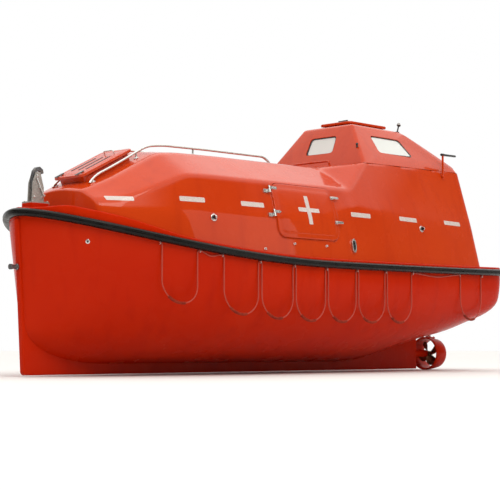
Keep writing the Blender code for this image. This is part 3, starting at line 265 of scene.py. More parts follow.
SOCKETS = {"coat": "Coat Weight", "coat_roughness": "Coat Roughness", "specular": "Specular IOR Level",
           "sheen": "Sheen Weight", "transmission": "Transmission Weight", "ior": "IOR"}


def new_material(name, colour, roughness, metallic=0.0, **numbers):
    """A material with its colour and plain numbers set on the shader's own sockets."""
    made = bpy.data.materials.new(name)
    made.use_nodes = True
    sockets = made.node_tree.nodes["Principled BSDF"].inputs
    sockets["Base Color"].default_value = (*colour, 1.0)
    sockets["Roughness"].default_value = roughness
    sockets["Metallic"].default_value = metallic
    for label, number in {"coat": 0.0, "coat_roughness": 0.05, **numbers}.items():
        sockets[SOCKETS[label]].default_value = number
    return made


def texture(made, kind, scale, stretch=(1, 1, 1), **settings):
    """The Fac or Distance output of a texture in the object's own coordinates."""
    tree = made.node_tree
    place = tree.nodes.new("ShaderNodeTexCoord")
    mapping = tree.nodes.new("ShaderNodeMapping")
    mapping.inputs["Scale"].default_value = stretch
    tree.links.new(place.outputs["Object"], mapping.inputs["Vector"])
    node = tree.nodes.new(kind)
    node.inputs["Scale"].default_value = scale
    for socket, value in settings.items():
        node.inputs[socket].default_value = value
    tree.links.new(mapping.outputs["Vector"], node.inputs["Vector"])
    return node.outputs[0]


def noise(made, scale, detail=3.0, stretch=(1, 1, 1)):
    return texture(made, "ShaderNodeTexNoise", scale, stretch, Detail=detail)


def cells(made, scale):
    return texture(made, "ShaderNodeTexVoronoi", scale)


def ranged(made, value, low, high, to_low, to_high):
    """A texture's value stretched from one range to another and clamped."""
    node = made.node_tree.nodes.new("ShaderNodeMapRange")
    for socket, number in (("From Min", low), ("From Max", high), ("To Min", to_low), ("To Max", to_high)):
        node.inputs[socket].default_value = number
    made.node_tree.links.new(value, node.inputs["Value"])
    return node.outputs["Result"]


def colour_between(made, value, first, second):
    """Mixes two colours, or a colour's socket and a colour, by a value."""
    node = made.node_tree.nodes.new("ShaderNodeMix")
    node.data_type = "RGBA"
    made.node_tree.links.new(value, node.inputs["Factor"])
    for socket, colour in ((6, first), (7, second)):
        if isinstance(colour, tuple):
            node.inputs[socket].default_value = (*colour, 1.0)
        else:
            made.node_tree.links.new(colour, node.inputs[socket])
    return node.outputs[2]


def connect(made, value, socket):
    made.node_tree.links.new(value, made.node_tree.nodes["Principled BSDF"].inputs[socket])


def tinted(made, pattern, low, high, first, second, most=1.0):
    """Mixes two colours by a pattern, over the pattern's range from low to high."""
    share = ranged(made, pattern, low, high, 0.0, most)
    connect(made, colour_between(made, share, first, second), "Base Color")


def roughened(made, pattern, smooth, rough, low=0.3, high=0.7):
    """Varies the roughness by a pattern."""
    connect(made, ranged(made, pattern, low, high, smooth, rough), "Roughness")


def bump(made, *layers):
    """Bump from several heights, each with how deep it is in metres, one on top of another."""
    normal = None
    for value, depth in layers:
        node = made.node_tree.nodes.new("ShaderNodeBump")
        node.inputs["Strength"].default_value = 1.0
        node.inputs["Distance"].default_value = depth
        made.node_tree.links.new(value, node.inputs["Height"])
        if normal:
            made.node_tree.links.new(normal, node.inputs["Normal"])
        normal = node.outputs["Normal"]
    connect(made, normal, "Normal")
    return made


def gelcoat(name, colour, faded, deep, gloss):
    """Glossy gelcoat on hand-laid glass fibre: uneven tint, faint streaks, and not quite fair."""
    made = new_material(name, colour, 0.24, coat=gloss, coat_roughness=0.035, specular=0.03)
    tint = ranged(made, noise(made, 0.9, 4.0), 0.35, 0.68, 0.0, 1.0)
    streaks = noise(made, 7.0, 5.0, (1.0, 1.0, 0.12))
    tinted(made, streaks, 0.52, 0.80, colour_between(made, tint, colour, faded), deep, 0.55)
    roughened(made, noise(made, 3.0, 6.0), 0.17, 0.34)
    return bump(made, (noise(made, 1.7, 1.0), 0.0038), (noise(made, 230.0, 2.0), 0.00008))


def rubber():
    made = new_material("rubber", (0.006, 0.0055, 0.005), 0.36, specular=0.2)
    tinted(made, noise(made, 9.0, 6.0), 0.48, 0.72, (0.004, 0.0037, 0.0034), (0.016, 0.015, 0.014), 0.4)
    roughened(made, noise(made, 14.0, 5.0), 0.20, 0.40)
    return bump(made, (noise(made, 350.0, 3.0), 0.0002), (noise(made, 18.0, 3.0), 0.0010))


def steel():
    made = new_material("steel", (0.62, 0.62, 0.61), 0.24, metallic=1.0)
    tinted(made, noise(made, 60.0, 6.0), 0.55, 0.75, (0.66, 0.66, 0.65), (0.45, 0.43, 0.40))
    roughened(made, noise(made, 90.0, 4.0, (1, 1, 9)), 0.14, 0.38)
    return bump(made, (noise(made, 240.0, 2.0, (1, 1, 14)), 0.00006))


def dark_steel():
    made = new_material("dark_steel", (0.16, 0.165, 0.17), 0.42, metallic=0.9)
    tinted(made, noise(made, 45.0, 6.0), 0.5, 0.75, (0.15, 0.155, 0.165), (0.24, 0.20, 0.17))
    roughened(made, noise(made, 40.0, 4.0), 0.30, 0.55)
    return bump(made, (noise(made, 150.0, 4.0), 0.0003))


def galvanised():
    made = new_material("galvanised", (0.40, 0.395, 0.37), 0.46, metallic=0.55)
    tinted(made, cells(made, 70.0), 0.1, 0.9, (0.46, 0.455, 0.43), (0.30, 0.295, 0.275))
    roughened(made, noise(made, 30.0, 4.0), 0.36, 0.58)
    return bump(made, (noise(made, 180.0, 3.0), 0.0003))


def bronze():
    made = new_material("bronze", (0.20, 0.13, 0.07), 0.36, metallic=1.0)
    tinted(made, noise(made, 22.0, 6.0), 0.42, 0.68, (0.24, 0.15, 0.08), (0.07, 0.055, 0.04))
    roughened(made, noise(made, 30.0, 5.0), 0.26, 0.55)
    return bump(made, (noise(made, 120.0, 4.0), 0.0003))


def glass():
    # Pale and mostly opaque: the faint green tint is the glass's own, the paleness is painted reflection of a
    # bright sky.
    made = new_material("glass", (0.90, 0.93, 0.91), 0.03, transmission=0.35, ior=1.45)
    roughened(made, noise(made, 6.0, 5.0), 0.02, 0.16, 0.45, 0.75)
    return bump(made, (noise(made, 3.0, 1.0), 0.0004))


def liner():
    made = new_material("liner", (0.66, 0.64, 0.60), 0.45)
    tinted(made, noise(made, 3.0, 5.0), 0.35, 0.70, (0.70, 0.68, 0.64), (0.56, 0.54, 0.50))
    roughened(made, noise(made, 12.0, 4.0), 0.36, 0.58)
    return bump(made, (noise(made, 60.0, 5.0), 0.0008))


def rope_finish():
    made = new_material("rope", (0.55, 0.085, 0.030), 0.75, sheen=0.25)
    fibres = noise(made, 420.0, 4.0, (1, 1, 4))
    tinted(made, fibres, 0.35, 0.68, (0.52, 0.050, 0.020), (0.32, 0.026, 0.010))
    return bump(made, (noise(made, 900.0, 3.0), 0.0004))


def grip_foam():
    made = new_material("grip_foam", (0.26, 0.018, 0.006), 0.7, specular=0.2)
    tinted(made, noise(made, 30.0, 5.0), 0.4, 0.7, (0.20, 0.014, 0.005), (0.34, 0.035, 0.012))
    return bump(made, (noise(made, 300.0, 3.0), 0.0004))


def vinyl():
    made = new_material("vinyl", (0.045, 0.047, 0.052), 0.5)
    tinted(made, noise(made, 5.0, 4.0), 0.35, 0.70, (0.040, 0.042, 0.047), (0.075, 0.077, 0.082))
    return bump(made, (cells(made, 450.0), 0.0002), (noise(made, 14.0, 3.0), 0.003))


def engine_paint():
    made = new_material("engine_paint", (0.13, 0.17, 0.16), 0.42)
    tinted(made, noise(made, 8.0, 6.0), 0.48, 0.75, (0.13, 0.18, 0.165), (0.055, 0.055, 0.05))
    roughened(made, noise(made, 20.0, 5.0), 0.30, 0.62)
    return bump(made, (noise(made, 130.0, 4.0), 0.0006))


def black_plastic():
    made = new_material("black_plastic", (0.022, 0.022, 0.024), 0.42)
    tinted(made, noise(made, 25.0, 6.0), 0.5, 0.78, (0.020, 0.020, 0.022), (0.085, 0.083, 0.080), 0.5)
    return bump(made, (noise(made, 500.0, 3.0), 0.00012))


# Near-black: painted shade inside holes, mouths and vent recesses, and the real black of the dials' faces.
def painted_shade_and_dial_black():
    made = new_material("painted_shade_and_dial_black", (0.008, 0.008, 0.009), 0.7)
    tinted(made, noise(made, 40.0, 3.0), 0.4, 0.7, (0.006, 0.006, 0.007), (0.020, 0.018, 0.017))
    return bump(made, (noise(made, 200.0, 2.0), 0.0002))


def reflective_tape():
    """Warm silver tape with the honeycomb of sealed cells that such tape has."""
    made = new_material("reflective_tape", (0.72, 0.65, 0.62), 0.35, coat=0.5, coat_roughness=0.12)
    honeycomb = cells(made, 190.0)
    tinted(made, honeycomb, 0.25, 0.60, (0.76, 0.67, 0.64), (0.55, 0.47, 0.44))
    roughened(made, noise(made, 30.0, 4.0), 0.25, 0.45)
    return bump(made, (honeycomb, 0.0002))


def lamp_glass():
    made = new_material("lamp_glass", (0.75, 0.75, 0.72), 0.12, transmission=0.5)
    tinted(made, noise(made, 60.0, 3.0), 0.4, 0.7, (0.78, 0.78, 0.75), (0.60, 0.60, 0.56))
    return bump(made, (texture(made, "ShaderNodeTexWave", 60.0), 0.0006))


FINISHES = {
    "hull_red": gelcoat("hull_red", (0.49, 0.015, 0.001), (0.53, 0.021, 0.002), (0.39, 0.010, 0.001), 0.04),
    "canopy_orange": gelcoat("canopy_orange", (0.52, 0.037, 0.002), (0.56, 0.047, 0.004),
                             (0.43, 0.027, 0.002), 0.55),
    "rubber": rubber(),
    "steel": steel(),
    "dark_steel": dark_steel(),
    "galvanised": galvanised(),
    "bronze": bronze(),
    "glass": glass(),
    "liner": liner(),
    "rope": rope_finish(),
    "grip_foam": grip_foam(),
    "vinyl": vinyl(),
    "grey_paint": engine_paint(),
    "black_plastic": black_plastic(),
    "painted_shade_and_dial_black": painted_shade_and_dial_black(),
    "reflective_tape": reflective_tape(),
    "lamp_glass": lamp_glass(),
}


# Shapes

def loft(loops, closed=False, caps=True):
    """A shape through loops of equal length."""
    count = len(loops[0])
    points = [Vector(point) for loop in loops for point in loop]
    faces = []
    for i in range(len(loops) if closed else len(loops) - 1):
        a, b = i * count, (i + 1) % len(loops) * count
        for j in range(count):
            k = (j + 1) % count
            faces.append((a + j, a + k, b + k, b + j))
    if caps and not closed:
        faces.append(tuple(range(count)))
        faces.append(tuple(range(len(points) - count, len(points))))
    return points, faces


def stack(*shapes):
    """Several shapes as one."""
    points, faces = [], []
    for more_points, more_faces in shapes:
        start = len(points)
        points += list(more_points)
        faces += [tuple(start + i for i in face) for face in more_faces]
    return points, faces


def opposite(point):
    """The same place on the boat's other side."""
    return Vector((point.x, -point.y, point.z))


def mirror(shape):
    points, faces = shape
    return [opposite(point) for point in points], [tuple(reversed(face)) for face in faces]


def as_is(shape):
    return shape


SIDES = (("port", as_is), ("starboard", mirror))


def both(shape):
    return stack(shape, mirror(shape))


def moved(shape, matrix):
    points, faces = shape
    return [matrix @ Vector(p) for p in points], faces


def prism(outline, axis, low, high):
    def place(a, b, along):
        return {"x": (along, a, b), "y": (a, along, b), "z": (a, b, along)}[axis]
    return loft([[place(a, b, along) for a, b in outline] for along in (low, high)])


def block(low, high):
    (x0, y0, z0), (x1, y1, z1) = low, high
    return prism([(x0, y0), (x1, y0), (x1, y1), (x0, y1)], "z", z0, z1)


def frames_along(route):
    """For each point of a route, two directions across it that turn as little as possible."""
    side = None
    for i, point in enumerate(route):
        ahead = (route[min(i + 1, len(route) - 1)] - route[max(i - 1, 0)]).normalized()
        if side is None:
            side = ahead.orthogonal().normalized()
        side = (side - ahead * side.dot(ahead)).normalized()
        yield point, side, ahead.cross(side)


def around(count, start=0.0):
    """Even angles all the way round."""
    return [2 * math.pi * k / count + start for k in range(count)]


def circle(centre, side, other, radius, turns):
    """Points round a centre, in the plane of two directions."""
    return [centre + (side * math.cos(t) + other * math.sin(t)) * radius for t in turns]


def tube(route, radius, sides=16, closed=False):
    """A round tube along a route. The radius is one number, or one for each point."""
    route = [Vector(point) for point in route]
    radii = [radius] * len(route) if isinstance(radius, float) else radius
    turns = [2 * math.pi * (k + 0.5) / sides for k in range(sides)]
    places = zip(frames_along(route), radii)
    return loft([circle(point, side, other, size, turns) for (point, side, other), size in places], closed)


def turned(profile, start, axis, sides=32, turn=0.0):
    """A round shape: the profile gives distances along the axis from the start, and radii."""
    axis = Vector(axis).normalized()
    side = axis.orthogonal().normalized()
    other = axis.cross(side)
    turns = around(sides, turn)
    centres = [(Vector(start) + axis * along, radius) for along, radius in profile]
    return loft([circle(centre, side, other, radius, turns) for centre, radius in centres])


def upright(profile, sides):
    """A round shape that stands on its own origin."""
    return turned(profile, (0, 0, 0), UPWARD, sides)


def foot_plate(radius, point, normal):
    """The round plate under a tube's end."""
    return turned(((-0.003, radius), (0.004, radius), (0.006, radius - 0.003)), point, normal, 24)


def curve(start, corner, end, shares):
    """Points of the curve that rounds a corner between two places."""
    return [start * (1 - t) ** 2 + corner * 2 * t * (1 - t) + end * t * t for t in shares]


def bent(points, reach=0.03, steps=6):
    """A route through points whose corners are rounded, starting and ending on the first and last."""
    points = [Vector(point) for point in points]
    route = [points[0]]
    for before, corner, after in zip(points, points[1:], points[2:]):
        start = corner + (before - corner).normalized() * min(reach, (before - corner).length * 0.45)
        end = corner + (after - corner).normalized() * min(reach, (after - corner).length * 0.45)
        route += curve(start, corner, end, [k / steps for k in range(steps + 1)])
    return route + [points[-1]]


def rounded(x0, x1, h0, h1, radius, steps=6, along=10):
    """A rectangle's outline with its four corners rounded, and points along its sides."""
    outline = []
    for corner_x, corner_h, start in ((x1, h0, -90), (x1, h1, 0), (x0, h1, 90), (x0, h0, 180)):
        centre_x = corner_x - radius if corner_x == x1 else corner_x + radius
        centre_h = corner_h - radius if corner_h == h1 else corner_h + radius
        for k in range(steps + 1):
            turn = math.radians(start + 90 * k / steps)
            outline.append((centre_x + radius * math.cos(turn), centre_h + radius * math.sin(turn)))
    full = []
    for i, (x, h) in enumerate(outline):
        full.append((x, h))
        if i % (steps + 1) == steps:
            next_x, next_h = outline[(i + 1) % len(outline)]
            full += [(x + (next_x - x) * k / along, h + (next_h - h) * k / along) for k in range(1, along)]
    return full


def leaf(bounds, radius, profile, place, along=10):
    """A moulded leaf: rounded outlines, each drawn in by a distance and set out by another."""
    x0, x1, h0, h1 = bounds
    loops = []
    for inset, out in profile:
        corner = max(radius - inset, 0.008)
        outline = rounded(x0 + inset, x1 - inset, h0 + inset, h1 - inset, corner, along=along)
        loops.append([place(a, b, out) for a, b in outline])
    return loft(loops)


def hexagon_bolts(places, size=0.008):
    """Domed washers with hexagon heads, at points with a direction each."""
    washer = ((-0.002, size * 1.5), (0.0012, size * 1.5), (0.0020, size * 1.3))
    head = ((0.0015, size), (size * 0.75, size), (size * 0.95, size * 0.82))
    shapes = []
    for point, axis in places:
        shapes += [turned(washer, point, axis, 16), turned(head, point, axis, 6, 0.3)]
    return stack(*shapes)


# Objects

def mesh_object(name, shape, *finishes):
    points, faces = shape
    mesh = bpy.data.meshes.new(name)
    mesh.from_pydata([tuple(point) for point in points], [], faces)
    work = bmesh.new()
    work.from_mesh(mesh)
    bmesh.ops.recalc_face_normals(work, faces=work.faces)
    work.to_mesh(mesh)
    work.free()
    for finish in finishes:
        mesh.materials.append(FINISHES[finish])
    made = bpy.data.objects.new(name, mesh)
    bpy.context.scene.collection.objects.link(made)
    return made


def shade(made, angle=35):
    made.data.shade_smooth()
    made.data.set_sharp_from_angle(angle=math.radians(angle))
    return made


def soften(made, width, segments=3, angle=30):
    """Rounds an object's edges and evens its shading."""
    made.data.shade_smooth()
    change = made.modifiers.new("bevel", "BEVEL")
    change.width = width
    change.segments = segments
    change.limit_method = "ANGLE"
    change.angle_limit = math.radians(angle)
    change.use_clamp_overlap = True
    made.modifiers.new("even", "WEIGHTED_NORMAL").keep_sharp = True
    return made


def fit(made, body="boat", replaces=()):
    """Puts a piece on its body and hides the solids that it stands for."""
    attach(made, body)
    if replaces:
        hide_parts(*replaces)
    return made


def piece(name, shape, finish, body="boat", bevel=0.0, segments=3, replaces=(), angle=35):
    made = mesh_object(name, shape, finish)
    if bevel:
        soften(made, bevel, segments)
    else:
        shade(made, angle)
    return fit(made, body, replaces)


def dress(node, finish, bevel=0.0015):
    """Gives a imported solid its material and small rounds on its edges."""
    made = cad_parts[node]
    made.data.materials.clear()
    made.data.materials.append(FINISHES[finish])
    weld = made.modifiers.new("weld", "WELD")
    weld.merge_threshold = 0.00001
    return soften(made, bevel, 2)


def settle(made):
    """Applies an object's modifiers."""
    graph = bpy.context.evaluated_depsgraph_get()
    mesh = bpy.data.meshes.new_from_object(made.evaluated_get(graph))
    made.modifiers.clear()
    made.data = mesh
    return made


def cut(made, *cutters):
    for cutter in cutters:
        change = made.modifiers.new("cut", "BOOLEAN")
        change.operation = "DIFFERENCE"
        change.material_mode = "TRANSFER"
        change.object = cutter
        settle(made)
        bpy.data.objects.remove(cutter)
    return made


def tree_of(made):
    graph = bpy.context.evaluated_depsgraph_get()
    return BVHTree.FromObject(made, graph)


def side_hit(tree, x, height):
    """The point of a shape's port side at a place, and the outward direction there."""
    point, normal, _, _ = tree.ray_cast(Vector((x, 3.0, up(height))), Vector((0, -1, 0)))
    return point, normal


def top_hit(tree, x, y):
    point, normal, _, _ = tree.ray_cast(Vector((x, y, 4.0)), Vector((0, 0, -1)))
    return point, normal


def stood(shape, point, normal, ahead=Vector((1, 0, 0))):
    """A shape modelled about its own origin with its Z outward and its X ahead, stood on a surface."""
    z = Vector(normal).normalized()
    x = (ahead - z * ahead.dot(z)).normalized()
    turn = Matrix((x, z.cross(x), z)).transposed().to_4x4()
    return moved(shape, Matrix.Translation(point) @ turn)


def smooth_curve(places, amounts):
    """A smooth curve through a table's points, which rises and falls only where they do."""
    x, y = np.array(places, float), np.array(amounts, float)
    run = np.diff(x)
    slope = np.diff(y) / run
    tangents = np.zeros(len(x))
    tangents[0], tangents[-1] = slope[0], slope[-1]
    for i in range(1, len(x) - 1):
        if slope[i - 1] * slope[i] > 0:
            first, second = 2 * run[i] + run[i - 1], run[i] + 2 * run[i - 1]
            tangents[i] = (first + second) / (first / slope[i - 1] + second / slope[i])

    def at(value):
        value = min(max(value, x[0]), x[-1])
        i = min(int(np.searchsorted(x, value, side="right")) - 1, len(run) - 1)
        t = (value - x[i]) / run[i]
        return float(y[i] * (1 + 2 * t) * (1 - t) ** 2 + y[i + 1] * t * t * (3 - 2 * t)
                     + run[i] * (tangents[i] * t * (1 - t) ** 2 - tangents[i + 1] * t * t * (1 - t)))
    return at


# Hull form

run_end = smooth_curve(RUN_HEIGHT, RUN_X)
square_power = smooth_curve(SQUARE_HEIGHT, SQUARE_POWER)


def sheer_height(x):
    """Height of the fender's middle."""
    if x > 0:
        return SHEER_MID + SHEER_BOW_RISE * (x / STEM_HEAD_X) ** SHEER_BOW_POWER
    return SHEER_MID + SHEER_STERN_RISE * (x / TRANSOM_X) ** 2


def rim_height(x):
    share = min(max((x - 1.9) / 0.8, 0.0), 1.0)
    return sheer_height(x) + RIM_RISE + RIM_BOW_RISE * share * share * (3 - 2 * share)


def forward_end(height):
    stem = STEM_FOOT_X + STEM_RAKE * height
    if height >= FOREFOOT_TOP:
        return min(stem, STEM_HEAD_X)
    drop = (FOREFOOT_TOP - height) / (FOREFOOT_TOP - CANOE_FOOT)
    return stem - FOREFOOT_LENGTH * (1 - math.sqrt(max(1 - drop * drop, 0.0)))


def waterline_point(height, way, share):
    """A point of the waterline that is this high amidships, a share of the way to the stem or the stern."""
    station = MID_X + share * ((STEM_HEAD_X if way > 0 else TRANSOM_X) - MID_X)
    lift = max(0.0, (height - LEVEL_TOP) / (FENDER_FOOT - LEVEL_TOP))
    at_station = height + lift * (sheer_height(station) - SHEER_MID)
    at_stem = height + lift * (sheer_height(STEM_HEAD_X) - SHEER_MID)
    rise = min((height - CANOE_FOOT) / (FENDER_FOOT - CANOE_FOOT), 1.0)
    level = height + lift * FENDER_HALF_HEIGHT
    deep = min((level - CANOE_FOOT + 0.012) / (SHEER_MID - CANOE_FOOT), 1.0)
    breadth = HALF_BEAM * math.sqrt(1 - (1 - deep) ** 2.8)
    if way > 0:
        end = STEM_HEAD_X if lift >= 1 else forward_end(at_stem)
        taper = max(1 - share ** (2.4 + rise), 0.0) ** (0.85 - 0.25 * rise)
    else:
        end = run_end(height)
        taper = (1 - 0.19 * share ** 2) * max(1 - share ** square_power(height), 0.0) ** (1 / (2.0 + rise))
    return Vector((MID_X + share * (end - MID_X), breadth * taper, up(at_station)))


def sheer_breadth(x):
    """Half-breadth of the hull at the fender."""
    way, end = (1, STEM_HEAD_X) if x >= MID_X else (-1, TRANSOM_X)
    return waterline_point(FENDER_FOOT, way, (x - MID_X) / (end - MID_X)).y


def hull_columns():
    aft = [(-1, 1 - (1 - t) ** 2.6) for t in np.linspace(1, 0, AFT_COLUMNS)]
    fore = [(1, 1 - (1 - t) ** 2) for t in np.linspace(0, 1, FORE_COLUMNS)[1:]]
    return aft + fore


def rim_row(drop, inset):
    """The hull's top edge, drawn in from its plan and down from its height."""
    plan = [waterline_point(FENDER_FOOT, way, share) for way, share in hull_columns()]
    row = []
    for i, point in enumerate(plan):
        run = plan[min(i + 1, len(plan) - 1)] - plan[max(i - 1, 0)]
        out = Vector((-run.y, run.x, 0)).normalized()
        if i == 0:
            out = Vector((-1, 0, 0))
        reach = inset if point.x < 0 else min(inset, 0.6 * point.y)
        x = point.x - out.x * reach
        row.append(Vector((x, point.y - out.y * reach, up(rim_height(point.x)) - nose_drop(point.x) - drop)))
    return row


def nose_drop(x):
    """How far the rim falls away ahead of the forward hook."""
    share = min(max((x - NOSE_START_X) / (STEM_HEAD_X - NOSE_START_X), 0.0), 1.0)
    return NOSE_DROP * share * share * (3 - 2 * share)


def hull_shape():
    columns = hull_columns()
    rows = []
    for t in np.linspace(0, 1, HULL_ROWS):
        height = CANOE_FOOT + (FENDER_FOOT - CANOE_FOOT) * t ** 1.8
        rows.append([waterline_point(height, way, share) for way, share in columns])
    for turn in (0, 30, 60, 90):
        turn = math.radians(turn)
        rows.append(rim_row(RIM_ROUND * (1 - math.sin(turn)), RIM_ROUND * (1 - math.cos(turn))))
    loops = [row + [opposite(point) for point in reversed(row[1:-1])] for row in rows]
    points, faces = loft(loops, caps=False)
    count, last = len(loops[0]), len(columns) - 1
    for base in (0, (len(loops) - 1) * count):
        for j in range(last):
            across = [base + (count - k) % count for k in (j + 1, j) if 0 < k < last]
            faces.append(tuple([base + j, base + j + 1] + across))
    return points, faces


def well_shape(tree):
    """The space inside the hull, above the cabin floor."""
    loops = []
    for x in np.linspace(*CAVITY_X, 30):
        heights = (SOLE, 0.58, 0.66, 0.76, 0.86, 0.98, sheer_height(x))
        side = [(side_hit(tree, x, height)[0].y - SHELL, up(height)) for height in heights]
        side.append((side[-1][0], up(rim_height(x)) + 0.1))
        loops.append([(x, y, z) for y, z in side] + [(x, -y, z) for y, z in reversed(side)])
    return loft(loops)


def fin_front(height):
    share = (height - FIN_FOOT) / (FIN_TOP - FIN_FOOT)
    return STEM_FOOT_X + FIN_PROUD + share * STEM_RAKE * FIN_TOP


def keel_shape():
    """Stem bar, keel and skeg as one plate."""
    round_x = fin_front(FIN_FOOT) - FIN_FOOT
    outline = [(SKEG_END_X, 0.0)]
    for k in range(9):
        turn = math.radians(-90 + 90 * k / 8)
        outline.append((round_x + FIN_FOOT * math.cos(turn), FIN_FOOT + FIN_FOOT * math.sin(turn)))
    top_x = fin_front(FIN_TOP)
    outline += [(top_x, FIN_TOP), (top_x - 0.12, FIN_TOP), (2.98, 0.60), (2.30, 0.20), (-1.10, 0.20),
                (-1.80, 0.33), (-2.30, 0.47), (SKEG_END_X, 0.56)]
    return prism([(x, up(h)) for x, h in outline], "y", -FIN_HALF, FIN_HALF)


def make_hull():
    skin = mesh_object("hull_skin", hull_shape(), "hull_red")
    tree = tree_of(skin)
    well = mesh_object("well", well_shape(tree), "liner")
    radius = STOCK_RADIUS + STOCK_CLEARANCE
    hole = turned(((0.0, radius), (STOCK_TOP - STOCK_HOLE_FOOT + GAP, radius)),
                  (NOZZLE_X, 0, up(STOCK_HOLE_FOOT)), UPWARD, 24)
    # The walls of the stock's hole are near-black: painted shade inside it.
    cut(skin, well, mesh_object("hole", hole, "painted_shade_and_dial_black"))
    fit(shade(skin, 38), replaces=("hull",))
    piece("keel_plate", keel_shape(), "hull_red", bevel=0.014, segments=4)
    deck = up(rim_height(HOOK_FORE_X + HOOK_BASE_FORE)) - GAP
    plinth = rounded(HOOK_FORE_X - HOOK_BASE_AFT - 0.006, HOOK_FORE_X + HOOK_BASE_FORE + 0.010,
                     -0.084, 0.084, 0.03)
    piece("hook_plinth", prism(plinth, "z", deck - 0.085, deck), "hull_red", bevel=0.006)
    axle = (BOSS_END_X, 0, up(SHAFT_HEIGHT))
    inner = SHAFT_RADIUS + SHAFT_CLEARANCE
    profile = ((BORE_DEPTH, inner), (0.0, inner), (0.0, BOSS_RADIUS - 0.004), (0.004, BOSS_RADIUS),
               (0.10, BOSS_RADIUS), (0.22, 0.036), (0.34, 0.024), (0.42, 0.012))
    piece("sterntube_boss", turned(profile, axle, (1, 0, 0)), "hull_red")
    return tree


# Canopy form

def sharp_section(x):
    """The canopy's half-section from the rim up: half-breadth, height and reach of each corner's round."""
    columns = list(zip(*reversed(CANOPY_SECTIONS)))
    last = CANOPY_SECTIONS[-1][0]

    def forward(at):
        plan = sheer_breadth(at)
        values = [float(np.interp(at, columns[0], column)) for column in columns[1:]]
        side_in, side_h, crease_in, crease_h, edge_y, edge_h, top_h = values
        return (plan - side_in, side_h), (plan - crease_in, crease_h), (edge_y, edge_h), (0.0, top_h)

    def flank(at):
        share = (TOWER_FRONT_X - at) / (TOWER_FRONT_X - CANOPY_AFT_X)
        side = tuple(a + share * (b - a) for a, b in zip(FLANK_SIDE_FRONT, FLANK_SIDE_AFT))
        knuckle = tuple(a + share * (b - a) for a, b in zip(KNUCKLE_FRONT, KNUCKLE_AFT))
        return side, knuckle
    rim = (sheer_breadth(x) - CANOPY_BASE_IN, rim_height(x), 0.0)
    if x >= last:
        side, crease, edge, top = forward(x)
        return [rim, (*side, 0.05), (*side, 0.05), (*crease, 0.030), (*edge, 0.045), (*top, 0.15)]
    if x <= TOWER_FRONT_X:
        side, knuckle = flank(x)
        return [rim, (*side, 0.07)] + [(*knuckle, 0.004)] * 3 + [(0.0, knuckle[1], 0.15)]
    share = (last - x) / (last - TOWER_FRONT_X)
    side, crease, edge, top = forward(last)
    far_side, knuckle = flank(TOWER_FRONT_X)
    far_top = (0.0, knuckle[1])
    corners = [rim]
    for near, far, reach in ((side, far_side, 0.05), (side, knuckle, 0.03), (crease, knuckle, 0.03),
                             (edge, knuckle, 0.045 - 0.041 * share), (top, far_top, 0.15)):
        corners.append((near[0] + share * (far[0] - near[0]), near[1] + share * (far[1] - near[1]), reach))
    return corners


def section_line(x, count):
    """The canopy's half-section with its corners rounded, as evenly spaced points."""
    blur = float(np.interp(x, (-0.7, -0.4, 1.5, 1.9), (0.008, 0.03, 0.03, 0.06)))
    blur = max(min(blur, CANOPY_FRONT_X - x, x - CANOPY_AFT_X), 0.0)
    corners = np.mean([sharp_section(x + blur * k) for k in (-1.0, -0.5, 0.0, 0.5, 1.0)], axis=0)
    kept = [corners[0]]
    for corner in corners[1:]:
        if np.hypot(*(corner[:2] - kept[-1][:2])) > 0.0005:
            kept.append(corner)
    line = [kept[0][:2]]
    for before, corner, after in zip(kept, kept[1:], kept[2:]):
        back, ahead = before[:2] - corner[:2], after[:2] - corner[:2]
        start = corner[:2] + back * min(corner[2] / np.hypot(*back), 0.45)
        end = corner[:2] + ahead * min(corner[2] / np.hypot(*ahead), 0.45)
        line += curve(start, corner[:2], end, np.linspace(0, 1, 9))
    top = kept[-1]
    start = top[:2] + (kept[-2][:2] - top[:2]) * min(top[2] / np.hypot(*(kept[-2][:2] - top[:2])), 0.45)
    line += curve(start, top[:2], np.array((-start[0], start[1])), np.linspace(0, 0.5, 6))
    line = np.array(line)
    length = np.concatenate(([0.0], np.cumsum(np.hypot(*np.diff(line, axis=0).T))))
    at = np.linspace(0, length[-1], count)
    return np.stack((np.interp(at, length, line[:, 0]), np.interp(at, length, line[:, 1])), axis=1)


def section_ring(x, line, base):
    """A closed ring across the canopy from its port half, whose lowest point is at the base's height."""
    port = [(float(y), float(h)) for y, h in line]
    port[0] = (port[0][0], base)
    points = [Vector((x, y, up(h) + GAP)) for y, h in port]
    return points + [opposite(point) for point in reversed(points[:-1])]


def canopy_shape():
    """The canopy's outside, with its front and after edges rounded."""
    rows = [(CANOPY_FRONT_X, 0.024), (2.7785, 0.014), (2.773, 0.006), (2.764, 0.0015), (2.752, 0.0)]
    middle = list(np.arange(2.70, -2.60, -0.055))
    middle += [CANOPY_SECTIONS[-1][0], TOWER_FRONT_X]
    rows += [(x, 0.0) for x in sorted(middle, reverse=True)]
    rows += [(-2.622, 0.0), (-2.632, 0.002), (-2.638, 0.007), (CANOPY_AFT_X, 0.015)]
    loops = []
    for x, inset in rows:
        line = section_line(x, 86)
        run = np.gradient(line, axis=0)
        out = np.stack((run[:, 1], -run[:, 0]), axis=1) / np.hypot(run[:, 0], run[:, 1])[:, None]
        out[-1] = (0.0, 1.0)
        line = line - out * inset
        loops.append(section_ring(x, line, rim_height(x)))
    return loft(loops)


def canopy_inside():
    loops = []
    for x in np.linspace(CANOPY_FRONT_X - CANOPY_WALL, CANOPY_AFT_X + CANOPY_WALL, 28):
        line = section_line(x, 18)
        share = 1 - CANOPY_WALL / line[0][0]
        line = [(y * share, h - CANOPY_WALL) for y, h in line]
        loops.append(section_ring(x, line, rim_height(x) - 0.2))
    return loft(loops)


def slope_top(x):
    columns = list(zip(*reversed(CANOPY_SECTIONS)))
    return Vector((x, 0, up(float(np.interp(x, columns[0], columns[-1])))))


def slope_normal():
    run = slope_top(FRONT_HATCH_X[0]) - slope_top(FRONT_HATCH_X[1])
    return run.cross(Vector((0, 1, 0))).normalized()


